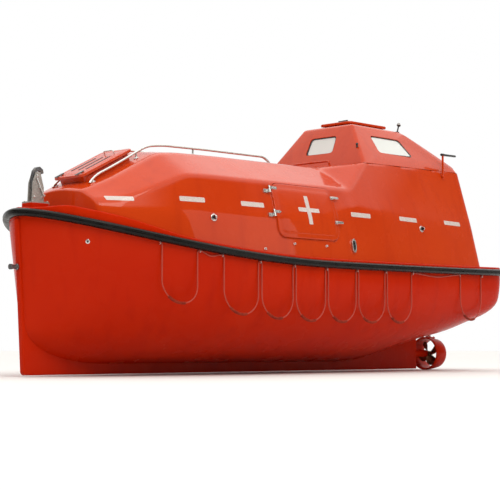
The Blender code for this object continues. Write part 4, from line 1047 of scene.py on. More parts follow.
def slope_point(x, out):
    """A point in the middle of the forward hatch, out from the line between its ends."""
    fore, aft = slope_top(FRONT_HATCH_X[0]), slope_top(FRONT_HATCH_X[1])
    return aft + (fore - aft) * (x - aft.x) / (fore.x - aft.x) + slope_normal() * out


def on_slope(a, b, out):
    return slope_point(a, out) + Vector((0, b, 0))


def door_outline(grow, along=10):
    """The port door's outline, grown by a distance."""
    return rounded(DOOR_X[0] - grow, DOOR_X[1] + grow, DOOR_H[0] - grow, DOOR_H[1] + grow,
                   DOOR_CORNER + grow, along=along)


def door_cutter(tree):
    outline = [side_hit(tree, x, h)[0] for x, h in door_outline(DOOR_GAP)]
    return loft([[point + DOOR_OUT * away for point in outline] for away in (-DOOR_CUT, -0.06, 0.03)])


def make_canopy():
    skin = mesh_object("canopy_skin", canopy_shape(), "canopy_orange")
    whole = tree_of(skin)
    fore, aft = FRONT_HATCH_X[0] - COAMING_IN, FRONT_HATCH_X[1] + COAMING_IN
    half = FRONT_HATCH_HALF - COAMING_IN
    way_outline = rounded(aft + 0.035, fore - 0.035, -half + 0.035, half - 0.035, 0.03)
    way = loft([[on_slope(x, y, out) for x, y in way_outline] for out in (-0.25, 0.10)])
    inset = TOWER_WALL + 0.012
    well = [(TOWER_FRONT_X - inset, KNUCKLE_FRONT[0] - inset), (CANOPY_AFT_X + inset, KNUCKLE_AFT[0] - inset)]
    well += [(x, -y) for x, y in reversed(well)]
    grown = AFT_HATCH_HALF + DOOR_GAP
    aft_way = rounded(-grown, grown, AFT_HATCH_H[0] - DOOR_GAP, AFT_HATCH_H[1] + DOOR_GAP, 0.055 + DOOR_GAP)
    aft_way = [(y, up(h)) for y, h in aft_way]
    door = door_cutter(whole)
    cut(skin,
        mesh_object("inside", canopy_inside(), "liner"),
        mesh_object("well", prism(well, "z", up(2.05), up(2.60)), "liner"),
        mesh_object("way", way, "canopy_orange"),
        mesh_object("port", door, "canopy_orange"),
        mesh_object("starboard", mirror(door), "canopy_orange"),
        mesh_object("aft", prism(aft_way, "x", CANOPY_AFT_X - 0.1, CANOPY_AFT_X + 0.15), "canopy_orange"))
    fit(shade(skin, 33), replaces=("canopy",))
    make_front_coaming((aft, fore, half))
    return whole


def coaming(name, bounds, corner, profile, place):
    """The upstand round a hatch's way in."""
    x0, x1, half = bounds
    loops = []
    for inset, out in profile:
        outline = rounded(x0 + inset, x1 - inset, inset - half, half - inset, corner - inset * 0.5, along=4)
        loops.append([place(x, y, out) for x, y in outline])
    piece(name, loft(loops, closed=True), "canopy_orange")


def make_front_coaming(bounds):
    top = FRONT_HATCH_RISE - FRONT_HATCH_THICK - GAP
    profile = ((0.0, -0.02), (0.0, top - 0.004), (0.004, top), (0.030, top), (0.034, top - 0.004),
               (0.034, -0.06))
    coaming("front_coaming", bounds, 0.045, profile, on_slope)


# Tower

def tower_corners(inset, floor):
    half = inset * 1.1
    fore = (TOWER_FRONT_X - inset * 1.2, KNUCKLE_FRONT[0] - half, up(KNUCKLE_FRONT[1]) + floor)
    roof_fore = (ROOF_FRONT_X - inset * 0.6, ROOF_HALF - inset * 0.6, up(ROOF_FRONT_H) - inset)
    roof_aft = (ROOF_AFT_X + inset * 0.3, ROOF_HALF - inset * 0.6, up(ROOF_AFT_H) - inset)
    tail = (CANOPY_AFT_X + inset, TAIL[0] - inset, up(TAIL[1]) - inset * 1.1)
    aft = (CANOPY_AFT_X + inset, KNUCKLE_AFT[0] - half, up(KNUCKLE_AFT[1]) + floor)
    return [fore, roof_fore, roof_aft, tail, aft]


def tower_shape(inset, floor):
    port = tower_corners(inset, floor)
    points = [Vector(p) for p in port] + [Vector((x, -y, z)) for x, y, z in port]
    faces = []
    for base in (0, 5):
        faces += [(base, base + 1, base + 2), (base, base + 2, base + 4), (base + 2, base + 3, base + 4)]
    faces += [(0, 5, 6, 1), (1, 6, 7, 2), (2, 7, 8, 3), (3, 8, 9, 4), (4, 9, 5, 0)]
    return points, faces


def on_plane(corners, a, b, axes):
    """The point of a plane through three corners whose two named coordinates are given."""
    p, q, r = (Vector(corner) for corner in corners)
    normal = (q - p).cross(r - p)
    free = ({0, 1, 2} - set(axes)).pop()
    point = Vector((0, 0, 0))
    point[axes[0]], point[axes[1]] = a, b
    point[free] = (normal.dot(p) - sum(normal[i] * point[i] for i in axes)) / normal[free]
    return point


def tower_panes():
    """Each window's name, its four corners on the tower's outside and the outward normal there."""
    fore, roof_fore, roof_aft, tail, _ = tower_corners(0.0, 0.0)
    front = (fore, roof_fore, (fore[0], -fore[1], fore[2]))
    after = (roof_aft, tail, (tail[0], -tail[1], tail[2]))
    flank = (fore, roof_fore, roof_aft)
    port = [on_plane(flank, x, up(h), (0, 2)) for x, h in SIDE_PANE]
    panes = (
        ("window_front", [on_plane(front, y, up(h), (1, 2)) for y, h in FRONT_PANE], Vector((1, 0, 0.4))),
        ("window_port", port, Vector((0, 1, 0.7))),
        ("window_aft", [on_plane(after, x, y, (0, 1)) for x, y in AFT_PANE], Vector((-0.5, 0, 1))),
        ("window_starboard", [opposite(corner) for corner in port], Vector((0, -1, 0.7))),
    )
    for name, corners, outward in panes:
        normal = (corners[1] - corners[0]).cross(corners[2] - corners[0]).normalized()
        yield name, corners, normal if normal.dot(outward) > 0 else -normal


def pane_outline(corners, grow, reach, steps=7):
    """A pane's outline with rounded corners."""
    centre = sum(corners, Vector()) / len(corners)
    spread = [c + (c - centre).normalized() * grow for c in corners]
    outline = []
    for i, corner in enumerate(spread):
        before, after = spread[i - 1], spread[(i + 1) % len(spread)]
        start = corner + (before - corner).normalized() * reach
        end = corner + (after - corner).normalized() * reach
        outline += curve(start, corner, end, [k / steps for k in range(steps + 1)])
    return outline


def make_tower():
    skin = mesh_object("tower_skin", tower_shape(0.0, GAP * 2), "canopy_orange")
    weights = skin.data.attributes.new("bevel_weight_edge", "FLOAT", "EDGE")
    base = {0, 4, 5, 9}
    for edge in skin.data.edges:
        weights.data[edge.index].value = 0.08 if set(edge.vertices) <= base else 1.0
    change = skin.modifiers.new("round", "BEVEL")
    change.width = 0.038
    change.segments = 6
    change.limit_method = "WEIGHT"
    settle(skin)
    tree = tree_of(skin)
    fore, aft = ROOF_HATCH_X[0] - COAMING_IN, ROOF_HATCH_X[1] + COAMING_IN
    half = ROOF_HATCH_HALF - COAMING_IN
    wall = 0.020
    way = prism(rounded(aft + wall, fore - wall, -half + wall, half - wall, 0.02), "z", up(2.5), up(2.9))
    inside = tower_shape(TOWER_WALL, -0.05)
    cutters = [mesh_object("inside", inside, "liner"), mesh_object("way", way, "liner")]
    for _, corners, normal in tower_panes():
        outline = pane_outline(corners, 0.0008, PANE_ROUND)
        hole = loft([[point + normal * away for point in outline] for away in (-0.09, 0.05)])
        cutters.append(mesh_object("hole", hole, "canopy_orange"))
    cut(skin, *cutters)
    fit(shade(skin, 30), replaces=("tower",))
    make_windows()
    make_roof_coaming((aft, fore, half))
    return tree


def make_windows():
    seal = ((-0.0015, -0.026), (0.0175, -0.026), (0.0175, -0.0125), (0.0125, -0.0095), (-0.0015, -0.0095))
    for name, corners, normal in tower_panes():
        outline = pane_outline(corners, 0.0, PANE_ROUND)
        depths = (-PANE_DEPTH - PANE_THICK, -PANE_DEPTH)
        pane = loft([[point + normal * out for point in outline] for out in depths])
        piece(name + "_pane", pane, "glass", replaces=(name,))
        centre = sum(outline, Vector()) / len(outline)
        loops = []
        for inward, out in seal:
            loops.append([p + (centre - p).normalized() * inward + normal * out for p in outline])
        piece(name + "_seal", loft(loops, closed=True), "black_plastic")


def make_roof_coaming(bounds):
    top = up(ROOF_LID_UNDER) - GAP
    profile = ((0.0, up(2.70)), (0.0, top - 0.003), (0.003, top), (0.018, top), (0.020, top - 0.003),
               (0.020, up(2.69)))
    coaming("roof_coaming", bounds, 0.035, profile, lambda x, y, z: (x, y, z))


# Side doors

def make_side_doors(canopy_tree):
    def place(x, h, out):
        return side_hit(canopy_tree, x, h)[0] + DOOR_OUT * out
    back = tuple((inset, -0.036) for inset in (0.24, 0.20, 0.16, 0.12, 0.08, 0.04, 0.01))
    shape = leaf((*DOOR_X, *DOOR_H), DOOR_CORNER, back + LEAF_PROFILE, place, along=14)
    fittings = door_fittings(canopy_tree)
    edge = [side_hit(canopy_tree, x, h)[0] for x, h in door_outline(SEAL_OUT, 14)]
    seal = tube(edge, 0.0042, 10, closed=True)
    cross = None
    for side, turn in SIDES:
        body = "door_" + side
        skin = piece(body + "_leaf", turn(shape), "canopy_orange", body, replaces=(body,))
        if cross is None:
            cross = door_cross(tree_of(skin))
        piece(body + "_cross", turn(cross), "reflective_tape", body)
        piece(body + "_seal", turn(seal), "canopy_orange")
        piece(body + "_straps", turn(fittings["straps"]), "steel", body, bevel=0.0012, segments=2)
        piece(body + "_dogs", turn(fittings["dogs"]), "steel", body, bevel=0.003, segments=3)
        piece(body + "_bolts", turn(fittings["bolts"]), "steel", body)


def door_fittings(tree):
    """The port door's hinge straps, dogs and bolts."""
    barrel = upright(((GAP, BARREL_RADIUS), (BARREL_LENGTH, BARREL_RADIUS)), 24)
    strap = block((-0.112, -0.0105, 0.003), (-0.004, -0.0035, BARREL_LENGTH - 0.003))
    foot = prism([(0.020, -0.016), (0.060, -0.016), (0.060, 0.016), (0.020, 0.016)], "y", 0.012, 0.0255)
    lever = prism([(-0.055, -0.010), (-0.030, -0.013), (0.052, -0.012), (0.068, 0.0), (0.052, 0.012),
                   (-0.030, 0.013), (-0.055, 0.010)], "y", 0.026, 0.036)
    turn = Matrix((FORWARD, DOOR_OUT, HINGE_ALONG)).transposed().to_4x4()
    straps, dogs, bolts = [], [], []
    for height in HINGE_HEIGHTS:
        line = HINGE_START + HINGE_ALONG * ((height - HINGE_HEIGHTS[0]) / HINGE_ALONG.z)
        place = Matrix.Translation(line) @ turn
        straps += [moved(barrel, place), moved(strap, place)]
        bolts += [(place @ Vector((x, -0.004, BARREL_LENGTH / 2)), DOOR_OUT) for x in (-0.095, -0.060)]
    for height in DOG_HEIGHTS:
        point, normal = side_hit(tree, DOOR_X[0], height)
        out = (normal - FORWARD * normal.dot(FORWARD)).normalized()
        place = Matrix.Translation(point) @ Matrix((FORWARD, out, FORWARD.cross(out))).transposed().to_4x4()
        dogs += [moved(foot, place), moved(lever, place)]
        bolts.append((place @ Vector((0.040, 0.036, 0.0)), out))
    return {"straps": stack(*straps), "dogs": stack(*dogs), "bolts": hexagon_bolts(bolts, 0.0055)}


def straight_strip(tree, x0, x1, h0, h1, thick=0.0012):
    """A thin rectangular strip on a shape's port side, with its corners just rounded off."""
    trim = 0.006 * np.sign(x1 - x0)
    loops = []
    for x in sorted(list(np.linspace(x0, x1, 26)) + [x0 + trim, x1 - trim]):
        cut_in = 0.006 if min(abs(x - x0), abs(x - x1)) < 0.0005 else 0.0
        hits = [side_hit(tree, x, h) for h in np.linspace(h0 + cut_in, h1 - cut_in, 6)]
        under = [point - normal * 0.002 for point, normal in reversed(hits)]
        loops.append([point + normal * thick for point, normal in hits] + under)
    return loft(loops)


def door_cross(tree):
    """The two strips of tape that cross on a door."""
    return stack(straight_strip(tree, 0.237, 0.540, 1.606, 1.648, 0.0012),
                 straight_strip(tree, 0.366, 0.420, 1.480, 1.770, 0.0022))


def make_tapes(tree):
    for name, x, height, length, breadth in TAPES:
        reach, half = length / 2, breadth / 2
        shape = straight_strip(tree, x - reach, x + reach, height - half, height + half)
        piece(name, both(shape), "reflective_tape")


# Hatches

def lid_lugs(line, way, across):
    """Two barrels with arms that reach under a lid, on its hinge line."""
    y = Vector((0, 1, 0))
    section = ((0, -0.008), (0.058, -0.008), (0.058, 0.003), (0, 0.008))
    arm = [line + way * a + across * c for a, c in section]
    shapes = []
    for low, high in ((LID_BRACKET_HALF + 0.001, LID_LUG_END), (-LID_LUG_END, -LID_BRACKET_HALF - 0.001)):
        shapes.append(turned(((low, LID_BARREL_RADIUS), (high, LID_BARREL_RADIUS)), line, y, 24))
        shapes.append(loft([[point + y * end for point in arm] for end in (low, high)]))
    return stack(*shapes)


def make_front_hatch():
    low = FRONT_HATCH_RISE - FRONT_HATCH_THICK
    bounds = (FRONT_HATCH_X[1], FRONT_HATCH_X[0], -FRONT_HATCH_HALF, FRONT_HATCH_HALF)
    shape = leaf(bounds, 0.05, [(inset, low + out) for inset, out in LID_PROFILE], on_slope, along=4)
    piece("front_hatch_lid", shape, "canopy_orange", "front_hatch", replaces=("front_hatch",))
    normal = slope_normal()
    down_slope = Vector((0, 1, 0)).cross(normal)
    edge = slope_point(FRONT_HATCH_X[1], FRONT_HATCH_RISE - FRONT_HATCH_THICK / 2)
    lugs = lid_lugs(edge - down_slope * LID_HINGE_OUT, down_slope, -normal)
    piece("front_hatch_lugs", lugs, "steel", "front_hatch", bevel=0.001, segments=2)
    front_hatch_fittings(normal)
    dress("front_hatch_hinge", "steel")


def front_hatch_fittings(normal):
    """The forward lid's catches, ribs and grip."""
    def patch(x0, x1, y, half, out):
        corners = ((x0, -half), (x0, half), (x1, half), (x1, -half))
        return [on_slope(x, y + side, FRONT_HATCH_RISE + out) for x, side in corners]
    catches, bolts = [], []
    for y in (-0.15, 0.15):
        lever = patch(2.655, 2.560, y, 0.012, 0.004)
        catches.append(loft([lever, [point + normal * 0.010 for point in lever]]))
        bolts.append((on_slope(2.590, y, FRONT_HATCH_RISE + 0.014), normal))
    piece("front_hatch_catches", stack(*catches), "dark_steel", "front_hatch", bevel=0.002)
    ribs = [loft([patch(2.20, 2.50, y, 0.011, 0.0005), patch(2.205, 2.495, y, 0.007, 0.006)])
            for y in (-0.105, 0.0, 0.105)]
    piece("front_hatch_ribs", stack(*ribs), "black_plastic", "front_hatch", bevel=0.0015, segments=2)
    corners = ((-0.07, -0.002), (-0.07, 0.034), (0.07, 0.034), (0.07, -0.002))
    grip = bent([on_slope(2.12, y, FRONT_HATCH_RISE + out) for y, out in corners], 0.02)
    piece("front_hatch_grip", tube(grip, 0.006, 12), "steel", "front_hatch")
    piece("front_hatch_bolts", hexagon_bolts(bolts, 0.006), "steel", "front_hatch")


def make_roof_hatch():
    bounds = (ROOF_HATCH_X[1], ROOF_HATCH_X[0], -ROOF_HATCH_HALF, ROOF_HATCH_HALF)

    def place(x, y, out):
        return Vector((x, y, up(ROOF_LID_UNDER) + out))
    shape = leaf(bounds, 0.04, LID_PROFILE, place, along=4)
    piece("roof_hatch_lid", shape, "canopy_orange", "roof_hatch", replaces=("roof_hatch",))
    line = Vector((ROOF_HATCH_X[1] - LID_HINGE_OUT, 0, up((ROOF_LID_UNDER + ROOF_LID_TOP) / 2)))
    lugs = lid_lugs(line, Vector((1, 0, 0)), Vector((0, 0, -1)))
    piece("roof_hatch_lugs", lugs, "steel", "roof_hatch", bevel=0.001, segments=2)
    top = up(ROOF_LID_TOP) + 0.001
    profile = ((0.0, 0.024), (0.010, 0.024), (0.016, 0.018), (0.026, 0.016))
    pivot = turned(profile, (ROOF_HANDLE_X, 0.0, top), UPWARD, 24)
    bends = ((0.0, 0.018), (0.05, 0.022), (0.115, 0.022))
    route = bent([(ROOF_HANDLE_X, y, top + rise) for y, rise in bends])
    piece("roof_hatch_handle", stack(pivot, tube(route, 0.0075, 12)), "black_plastic", "roof_hatch")
    dress("roof_hatch_hinge", "steel")


def make_aft_hatch():
    def place(y, h, out):
        return Vector((CANOPY_AFT_X - out, y, up(h)))
    profile = ((0.15, -0.026), (0.0, -0.026), (0.0, 0.008), (0.002, 0.0115), (0.008, 0.014), (0.034, 0.014),
               (0.040, 0.011), (0.048, 0.011), (0.056, 0.0145), (0.15, 0.016))
    shape = leaf((-AFT_HATCH_HALF, AFT_HATCH_HALF, *AFT_HATCH_H), 0.055, profile, place, along=4)
    piece("aft_hatch_leaf", shape, "canopy_orange", "aft_hatch", replaces=("aft_hatch",))
    line_x = CANOPY_AFT_X - AFT_HATCH_OUT - LID_BARREL_RADIUS
    line_y = -AFT_HATCH_HALF - LID_HINGE_OUT
    straps = []
    barrel = ((GAP, LID_BARREL_RADIUS), (0.04, LID_BARREL_RADIUS))
    for z in map(up, AFT_HINGE_HEIGHTS):
        straps.append(turned(barrel, (line_x, line_y, z), UPWARD, 24))
        straps.append(block((line_x + 0.003, line_y, z + 0.003), (line_x + 0.0095, line_y + 0.10, z + 0.037)))
    outside = CANOPY_AFT_X - 0.017
    knob = ((0.0, 0.020), (0.006, 0.020), (0.008, 0.012), (0.018, 0.012))
    for z in map(up, AFT_HANDLE_HEIGHTS):
        straps.append(turned(knob, (outside + 0.004, 0.19, z), -FORWARD, 20))
        straps.append(block((outside - 0.014, 0.125, z - 0.009), (outside - 0.006, 0.20, z + 0.009)))
    piece("aft_hatch_fittings", stack(*straps), "steel", "aft_hatch", bevel=0.0012, segments=2)
    for place_name in ("lower", "upper"):
        dress("aft_hatch_hinge_" + place_name, "steel")


# Fender and lifelines

def fender_path():
    """The hull's plan from the port quarter round the bow, with the outward direction at each point."""
    xs = list(np.linspace(FENDER_END_X, 2.6, 70))
    xs += list(STEM_HEAD_X - 0.64 * (1 - np.linspace(0, 1, 26)[1:]) ** 2.2)
    port = [Vector((x, sheer_breadth(x), up(sheer_height(x)))) for x in xs]
    path = []
    for i, point in enumerate(port[:-1]):
        run = port[i + 1] - port[max(i - 1, 0)]
        path.append((point, Vector((-run.y, run.x, 0)).normalized()))
    last = math.atan2(path[-1][1].y, path[-1][1].x)
    for k in range(1, 6):
        turn = last * (1 - k / 6)
        path.append((port[-1], Vector((math.cos(turn), math.sin(turn), 0))))
    return path + [(port[-1], FORWARD)] + [(opposite(point), opposite(out)) for point, out in reversed(path)]


def make_fender():
    """A D-shaped rubber strip with a shallow groove along its face, its ends rounded off."""
    half, depth = FENDER_HALF_HEIGHT, FENDER_DEPTH
    section = [(-0.004, half), (depth * 0.30, half), (depth * 0.55, half * 0.95), (depth * 0.76, half * 0.80),
               (depth * 0.92, half * 0.55), (depth * 0.985, half * 0.28), (depth * 0.955, half * 0.10)]
    section += [(away, -rise) for away, rise in reversed(section)]
    path = fender_path()
    ends = ((0.016, 0.30), (0.012, 0.62), (0.006, 0.86), (0.0, 1.0))

    def loop(point, out, past=0.0, share=1.0, way=1):
        ahead = Vector((out.y, -out.x, 0)) * way
        return [point - ahead * past + out * away * share + Vector((0, 0, rise * share))
                for away, rise in section]
    loops = [loop(*path[0], past, share) for past, share in ends]
    loops += [loop(*place) for place in path[1:-1]]
    loops += [loop(*path[-1], past, share, -1) for past, share in reversed(ends)]
    piece("fender_strip", loft(loops), "rubber", replaces=("fender",), angle=60)


def bight(start, end, depth):
    """A loop as (x, drop): over its becket, down plumb, round a half circle, and up to the next becket."""
    turn = [(ROPE_TURN * math.sin(t), ROPE_TURN * (1 - math.cos(t))) for t in np.linspace(0, math.pi / 2, 7)]
    half = (start - end) / 2 - ROPE_TURN
    points = [(start - across, drop) for across, drop in turn]
    for t in np.linspace(0, math.pi, 33):
        points.append(((start + end) / 2 + half * math.cos(t), depth - half + half * math.sin(t)))
    return points + [(end + across, drop) for across, drop in reversed(turn)]


def short_bight(start, end):
    """A rope that only dips between two beckets, as (x, drop)."""
    shares = [k / 40 for k in range(41)]
    return [(start + (end - start) * share, SHORT_BIGHT * math.sin(math.pi * share) ** 2) for share in shares]


def hung(points):
    """A loop's points in space, plumb below the fender."""
    out = ROPE_RADIUS + GAP
    top = FENDER_HALF_HEIGHT + BECKET_DROP
    return [Vector((x, sheer_breadth(x) + out, up(sheer_height(x) - top - drop))) for x, drop in points]


def evenly(route, step):
    """A route's points, set an even distance apart."""
    points = np.array([tuple(point) for point in route])
    length = np.concatenate(([0.0], np.cumsum(np.linalg.norm(np.diff(points, axis=0), axis=1))))
    at = np.linspace(0, length[-1], max(int(length[-1] / step), 2))
    return [Vector([float(np.interp(s, length, points[:, axis])) for axis in range(3)]) for s in at]


def twisted_rope(route, radius, pitch=0.045, strands=3, sides=12):
    """A laid rope: a section of three strands that turns as it goes."""
    loops = []
    for i, (point, side, other) in enumerate(frames_along(route)):
        turn = 2 * math.pi * i * ROPE_STEP / pitch
        loop = []
        for t in around(sides):
            size = radius * (0.90 + 0.10 * abs(math.cos(strands * (t - turn) / 2)) ** 0.6)
            loop.append(point + (side * math.cos(t) + other * math.sin(t)) * size)
        loops.append(loop)
    return loft(loops)


def make_lifelines():
    """A rope along each side, in loops from becket to becket, with a foam grip in each deep loop."""
    route, grips, whippings, staples = [], [], [], []
    for start, end, depth in zip(BECKETS, BECKETS[1:], LOOP_DEPTH):
        loop = hung(bight(start, end, depth) if depth else short_bight(start, end))
        route += loop[:-1]
        if depth:
            grips.append(tube(evenly(loop[7 + GRIP_FROM:7 + GRIP_TO], 0.02), GRIP_RADIUS, 14))
    route = evenly(route + loop[-1:], ROPE_STEP)
    rope = twisted_rope(route, ROPE_RADIUS)
    for (side, turn), way in zip(SIDES, (1, -1)):
        made = piece("lifeline_rope_" + side, turn(rope), "rope", replaces=("lifeline_" + side,), angle=80)
        path = [(point.x, point.y * way, point.z) for point in route]
        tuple(path[0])
    staple = ((-0.004, 0.012), (0.018, 0.012), (0.018, -0.016), (-0.004, -0.020))
    whipping = ((-0.008, 0.0072), (-0.007, 0.0082), (0.007, 0.0082), (0.008, 0.0072))
    for x in BECKETS:
        y, z = sheer_breadth(x), up(sheer_height(x) - FENDER_HALF_HEIGHT - BECKET_DROP)
        staples.append(tube(bent([(x, y + out, z + rise) for out, rise in staple], 0.007, 4), 0.0026, 10))
        whippings.append(turned(whipping, (x, y + ROPE_RADIUS, z), FORWARD, 16))
    piece("lifeline_grips", both(stack(*grips)), "grip_foam")
    piece("lifeline_whippings", both(stack(*whippings)), "rope")
    piece("lifeline_staples", both(stack(*staples)), "steel")


# Rails

def rail_route(tree):
    fore, aft = 2.62, 0.20
    points = [Vector((fore, RAIL_Y, top_hit(tree, fore, RAIL_Y)[0].z + 0.004))]
    for x in np.arange(fore - 0.015, aft, -0.05):
        near = min(fore - x, x - aft)
        rise = float(np.interp(x, (1.9, 2.2), (RAIL_RISE - 0.010, RAIL_RISE - 0.022)))
        rise *= min(1.0, math.sqrt(max(near, 0.0) / 0.10))
        points.append(Vector((x, RAIL_Y, top_hit(tree, x, RAIL_Y)[0].z + rise)))
    points.append(Vector((aft, RAIL_Y, top_hit(tree, aft, RAIL_Y)[0].z + 0.004)))
    return bent(points, 0.02, 3)


def make_rails(tree):
    shapes = [tube(rail_route(tree), RAIL_RADIUS, 18)]
    bolts = []
    for x, share in RAIL_FEET:
        foot, normal = top_hit(tree, x, RAIL_Y)
        rise = (RAIL_RISE - 0.015) * share
        shapes.append(foot_plate(0.026, foot, normal))
        shapes.append(turned(((0.0, 0.013), (0.010, 0.0095), (rise, 0.009)), foot, UPWARD, 18))
        for turn in (0.8, 2.9, 5.0):
            spot = foot + Vector((math.cos(turn), math.sin(turn), 0)) * 0.018
            bolts.append((top_hit(tree, spot.x, spot.y)[0] + normal * 0.004, normal))
    rail = stack(*shapes)
    for side, turn in SIDES:
        piece("rail_tube_" + side, turn(rail), "steel", replaces=("rail_" + side,), angle=50)
    piece("rail_bolts", both(hexagon_bolts(bolts, 0.0032)), "steel")


# Hooks

def make_hooks():
    """The release hooks with their pins' heads, nuts and locking rods."""
    for place, x, way in (("fore", HOOK_FORE_X, 1), ("aft", HOOK_AFT_X, -1)):
        dress("hook_base_" + place, "galvanised", 0.002)
        dress("hook_" + place, "dark_steel", 0.004)
        deck = up(max(rim_height(x - HOOK_BASE_AFT), rim_height(x + HOOK_BASE_FORE)))
        bolts = [(Vector((x + a, y, deck + 0.014)), UPWARD) for a in (-0.095, 0.072) for y in (-0.060, 0.060)]
        for y in (-1, 1):
            for a, h in ((-0.02, 0.150), (0.035, 0.06), (-0.055, 0.06), (0.0, 0.255)):
                bolts.append((Vector((x + a, y * 0.036, deck + h)), Vector((0, y, 0))))
        piece("hook_bolts_" + place, hexagon_bolts(bolts, 0.009), "steel")
        foot = x - way * 0.065
        rod = tube([(foot, 0.050, deck + 0.075), (x + way * 0.012, 0.050, deck + 0.235)], 0.0065, 12)
        clevis = turned(((-0.012, 0.011), (0.012, 0.011)), (foot, 0.046, deck + 0.075), (0, 1, 0), 16)
        piece("hook_rod_" + place, stack(rod, clevis), "steel")


# Propeller and nozzle

def make_nozzle():
    """A foil-shaped ring on a stock, with a palm plate bolted on its top."""
    foil = ((0.0950, 0.1850), (0.0935, 0.1905), (0.0870, 0.1945), (0.0600, 0.1950), (0.0, 0.1920),
            (-0.0650, 0.1825), (-0.1210, 0.1735), (-0.1250, 0.1715), (-0.1250, 0.1660), (-0.1210, 0.1630),
            (-0.0600, 0.1660), (0.0, 0.1700), (0.0500, 0.1740), (0.0850, 0.1790))
    middle = up(SHAFT_HEIGHT)
    loops = [[(NOZZLE_X + along, radius * math.sin(t), middle + radius * math.cos(t))
              for along, radius in foil] for t in around(72)]
    piece("nozzle_ring", loft(loops, closed=True), "hull_red", "nozzle", replaces=("nozzle",), angle=50)
    foot = up(SHAFT_HEIGHT + 0.183)
    profile = ((0.0, 0.045), (0.010, 0.045), (0.022, STOCK_RADIUS + 0.004), (0.030, STOCK_RADIUS),
               (up(STOCK_TOP) - foot, STOCK_RADIUS))
    piece("nozzle_stock", turned(profile, (NOZZLE_X, 0, foot), UPWARD, 32), "steel", "nozzle")
    outline = rounded(NOZZLE_X - 0.075, NOZZLE_X + 0.070, -0.052, 0.052, 0.02, along=3)
    piece("nozzle_palm", prism(outline, "z", foot - 0.004, foot + 0.012), "hull_red", "nozzle", bevel=0.003)
    bolts = [(Vector((NOZZLE_X + a, b, foot + 0.012)), UPWARD)
             for a in (-0.058, 0.053) for b in (-0.036, 0.036)]
    piece("nozzle_bolts", hexagon_bolts(bolts, 0.007), "steel", "nozzle")


def blade_shape(turn):
    """One twisted, raked-back blade, thick at its root and rounded at its tip."""
    radii = (0.022, 0.060, 0.105, 0.135, 0.146, 0.150)
    chord_at = smooth_curve(radii, (0.048, 0.094, 0.122, 0.104, 0.070, 0.020))
    pitch_at = smooth_curve(radii, (58, 42, 30, 26, 24, 23))
    thick_at = smooth_curve(radii, (0.011, 0.008, 0.0055, 0.0042, 0.0036, 0.0028))
    skew_at = smooth_curve(radii, (0.0, 0.001, -0.004, -0.010, -0.014, -0.017))
    foil = ((-0.5, 0.0), (-0.46, 0.26), (-0.36, 0.42), (-0.15, 0.50), (0.12, 0.46), (0.34, 0.28), (0.5, 0.0),
            (0.34, -0.22), (0.12, -0.36), (-0.15, -0.40), (-0.36, -0.34), (-0.46, -0.20))
    loops = []
    for radius in np.concatenate((np.linspace(0.022, 0.135, 16), (0.140, 0.144, 0.147, 0.149, 0.150))):
        lean = math.radians(pitch_at(radius))
        chord_way = Vector((math.sin(lean), math.cos(lean), 0))
        thick_way = Vector((math.cos(lean), -math.sin(lean), 0))
        loop = []
        for along, side in foil:
            flat = chord_way * (along * chord_at(radius) + skew_at(radius))
            flat = flat + thick_way * side * thick_at(radius) + Vector((0, 0, radius))
            bend = flat.y / max(radius, 0.04)
            loop.append(Vector((flat.x, radius * math.sin(bend), radius * math.cos(bend))))
        loops.append(loop)
    place = Matrix.Translation((NOZZLE_X, 0, up(SHAFT_HEIGHT))) @ Matrix.Rotation(turn, 4, "X")
    return moved(loft(loops), place)


def make_propeller():
    fore = BOSS_END_X - GAP - NOZZLE_X
    profile = ((-0.078, 0.004), (-0.076, 0.012), (-0.070, 0.019), (-0.060, 0.024), (-0.045, 0.0255),
               (-0.042, 0.0285), (-0.02, HUB_RADIUS), (fore - 0.004, HUB_RADIUS + 0.004),
               (fore, HUB_RADIUS + 0.002), (fore, SHAFT_RADIUS), (fore + SHAFT_LENGTH, SHAFT_RADIUS))
    hub = turned(profile, (NOZZLE_X, 0, up(SHAFT_HEIGHT)), FORWARD, 40)
    blades = [blade_shape(2 * math.pi * k / BLADES + 0.4) for k in range(BLADES)]
    piece("propeller_cast", stack(hub, *blades), "bronze", "propeller", replaces=("propeller",), angle=40)


# Small fittings

def hood_shape():
    """A cowl over a side outlet, and a near-black disc in its mouth that is painted shade, on its own origin:
    foot across Z, mouth along X.
    """
    flange = upright(((-0.002, 0.036), (0.003, 0.036), (0.005, 0.034), (0.005, 0.020)), 32)
    route = [Vector((-0.010, 0, 0.002))]
    for k in range(9):
        turn = math.radians(90 * k / 8)
        route.append(Vector((-0.010 + 0.020 * (1 - math.cos(turn)), 0, 0.004 + 0.020 * math.sin(turn))))
    radii = [0.024, 0.024, 0.0235, 0.023, 0.0225, 0.022, 0.022, 0.022, 0.0222, 0.0225]
    cowl = tube(route, radii, 24)
    mouth = turned(((0.0, 0.0245), (0.004, 0.0245), (0.005, 0.0225)), (0.008, 0, 0.024), FORWARD, 24)
    # A thin near-black disc inside the mouth: painted shade of the pipe's inside.
    dark = turned(((0.0, 0.0185), (0.0012, 0.0185)), (0.0125, 0, 0.024), FORWARD, 24)
    return stack(flange, cowl, mouth), dark


def make_side_outlets(tree):
    hood, mouth = hood_shape()
    ahead = Vector((1, 0, -0.25))
    bolts = []
    for place, x, height in SIDE_OUTLETS:
        point, normal = side_hit(tree, x, height)
        shape, dark = stood(hood, point, normal, ahead), stood(mouth, point, normal, ahead)
        for side, turn in SIDES:
            name = "%s_%s" % (side, place)
            piece("hood_" + name, turn(shape), "steel", replaces=("side_eye_" + name,), angle=50)
            # The disc in each hood's mouth is painted shade.
            piece("hood_mouth_painted_shade_" + name, turn(dark), "painted_shade_and_dial_black")
        for t in (0.9, 2.3, 4.0, 5.4):
            bolts.append((point + Vector((math.cos(t), 0, math.sin(t))) * 0.029 + normal * 0.003, normal))
    piece("hood_bolts", both(hexagon_bolts(bolts, 0.0028)), "steel")


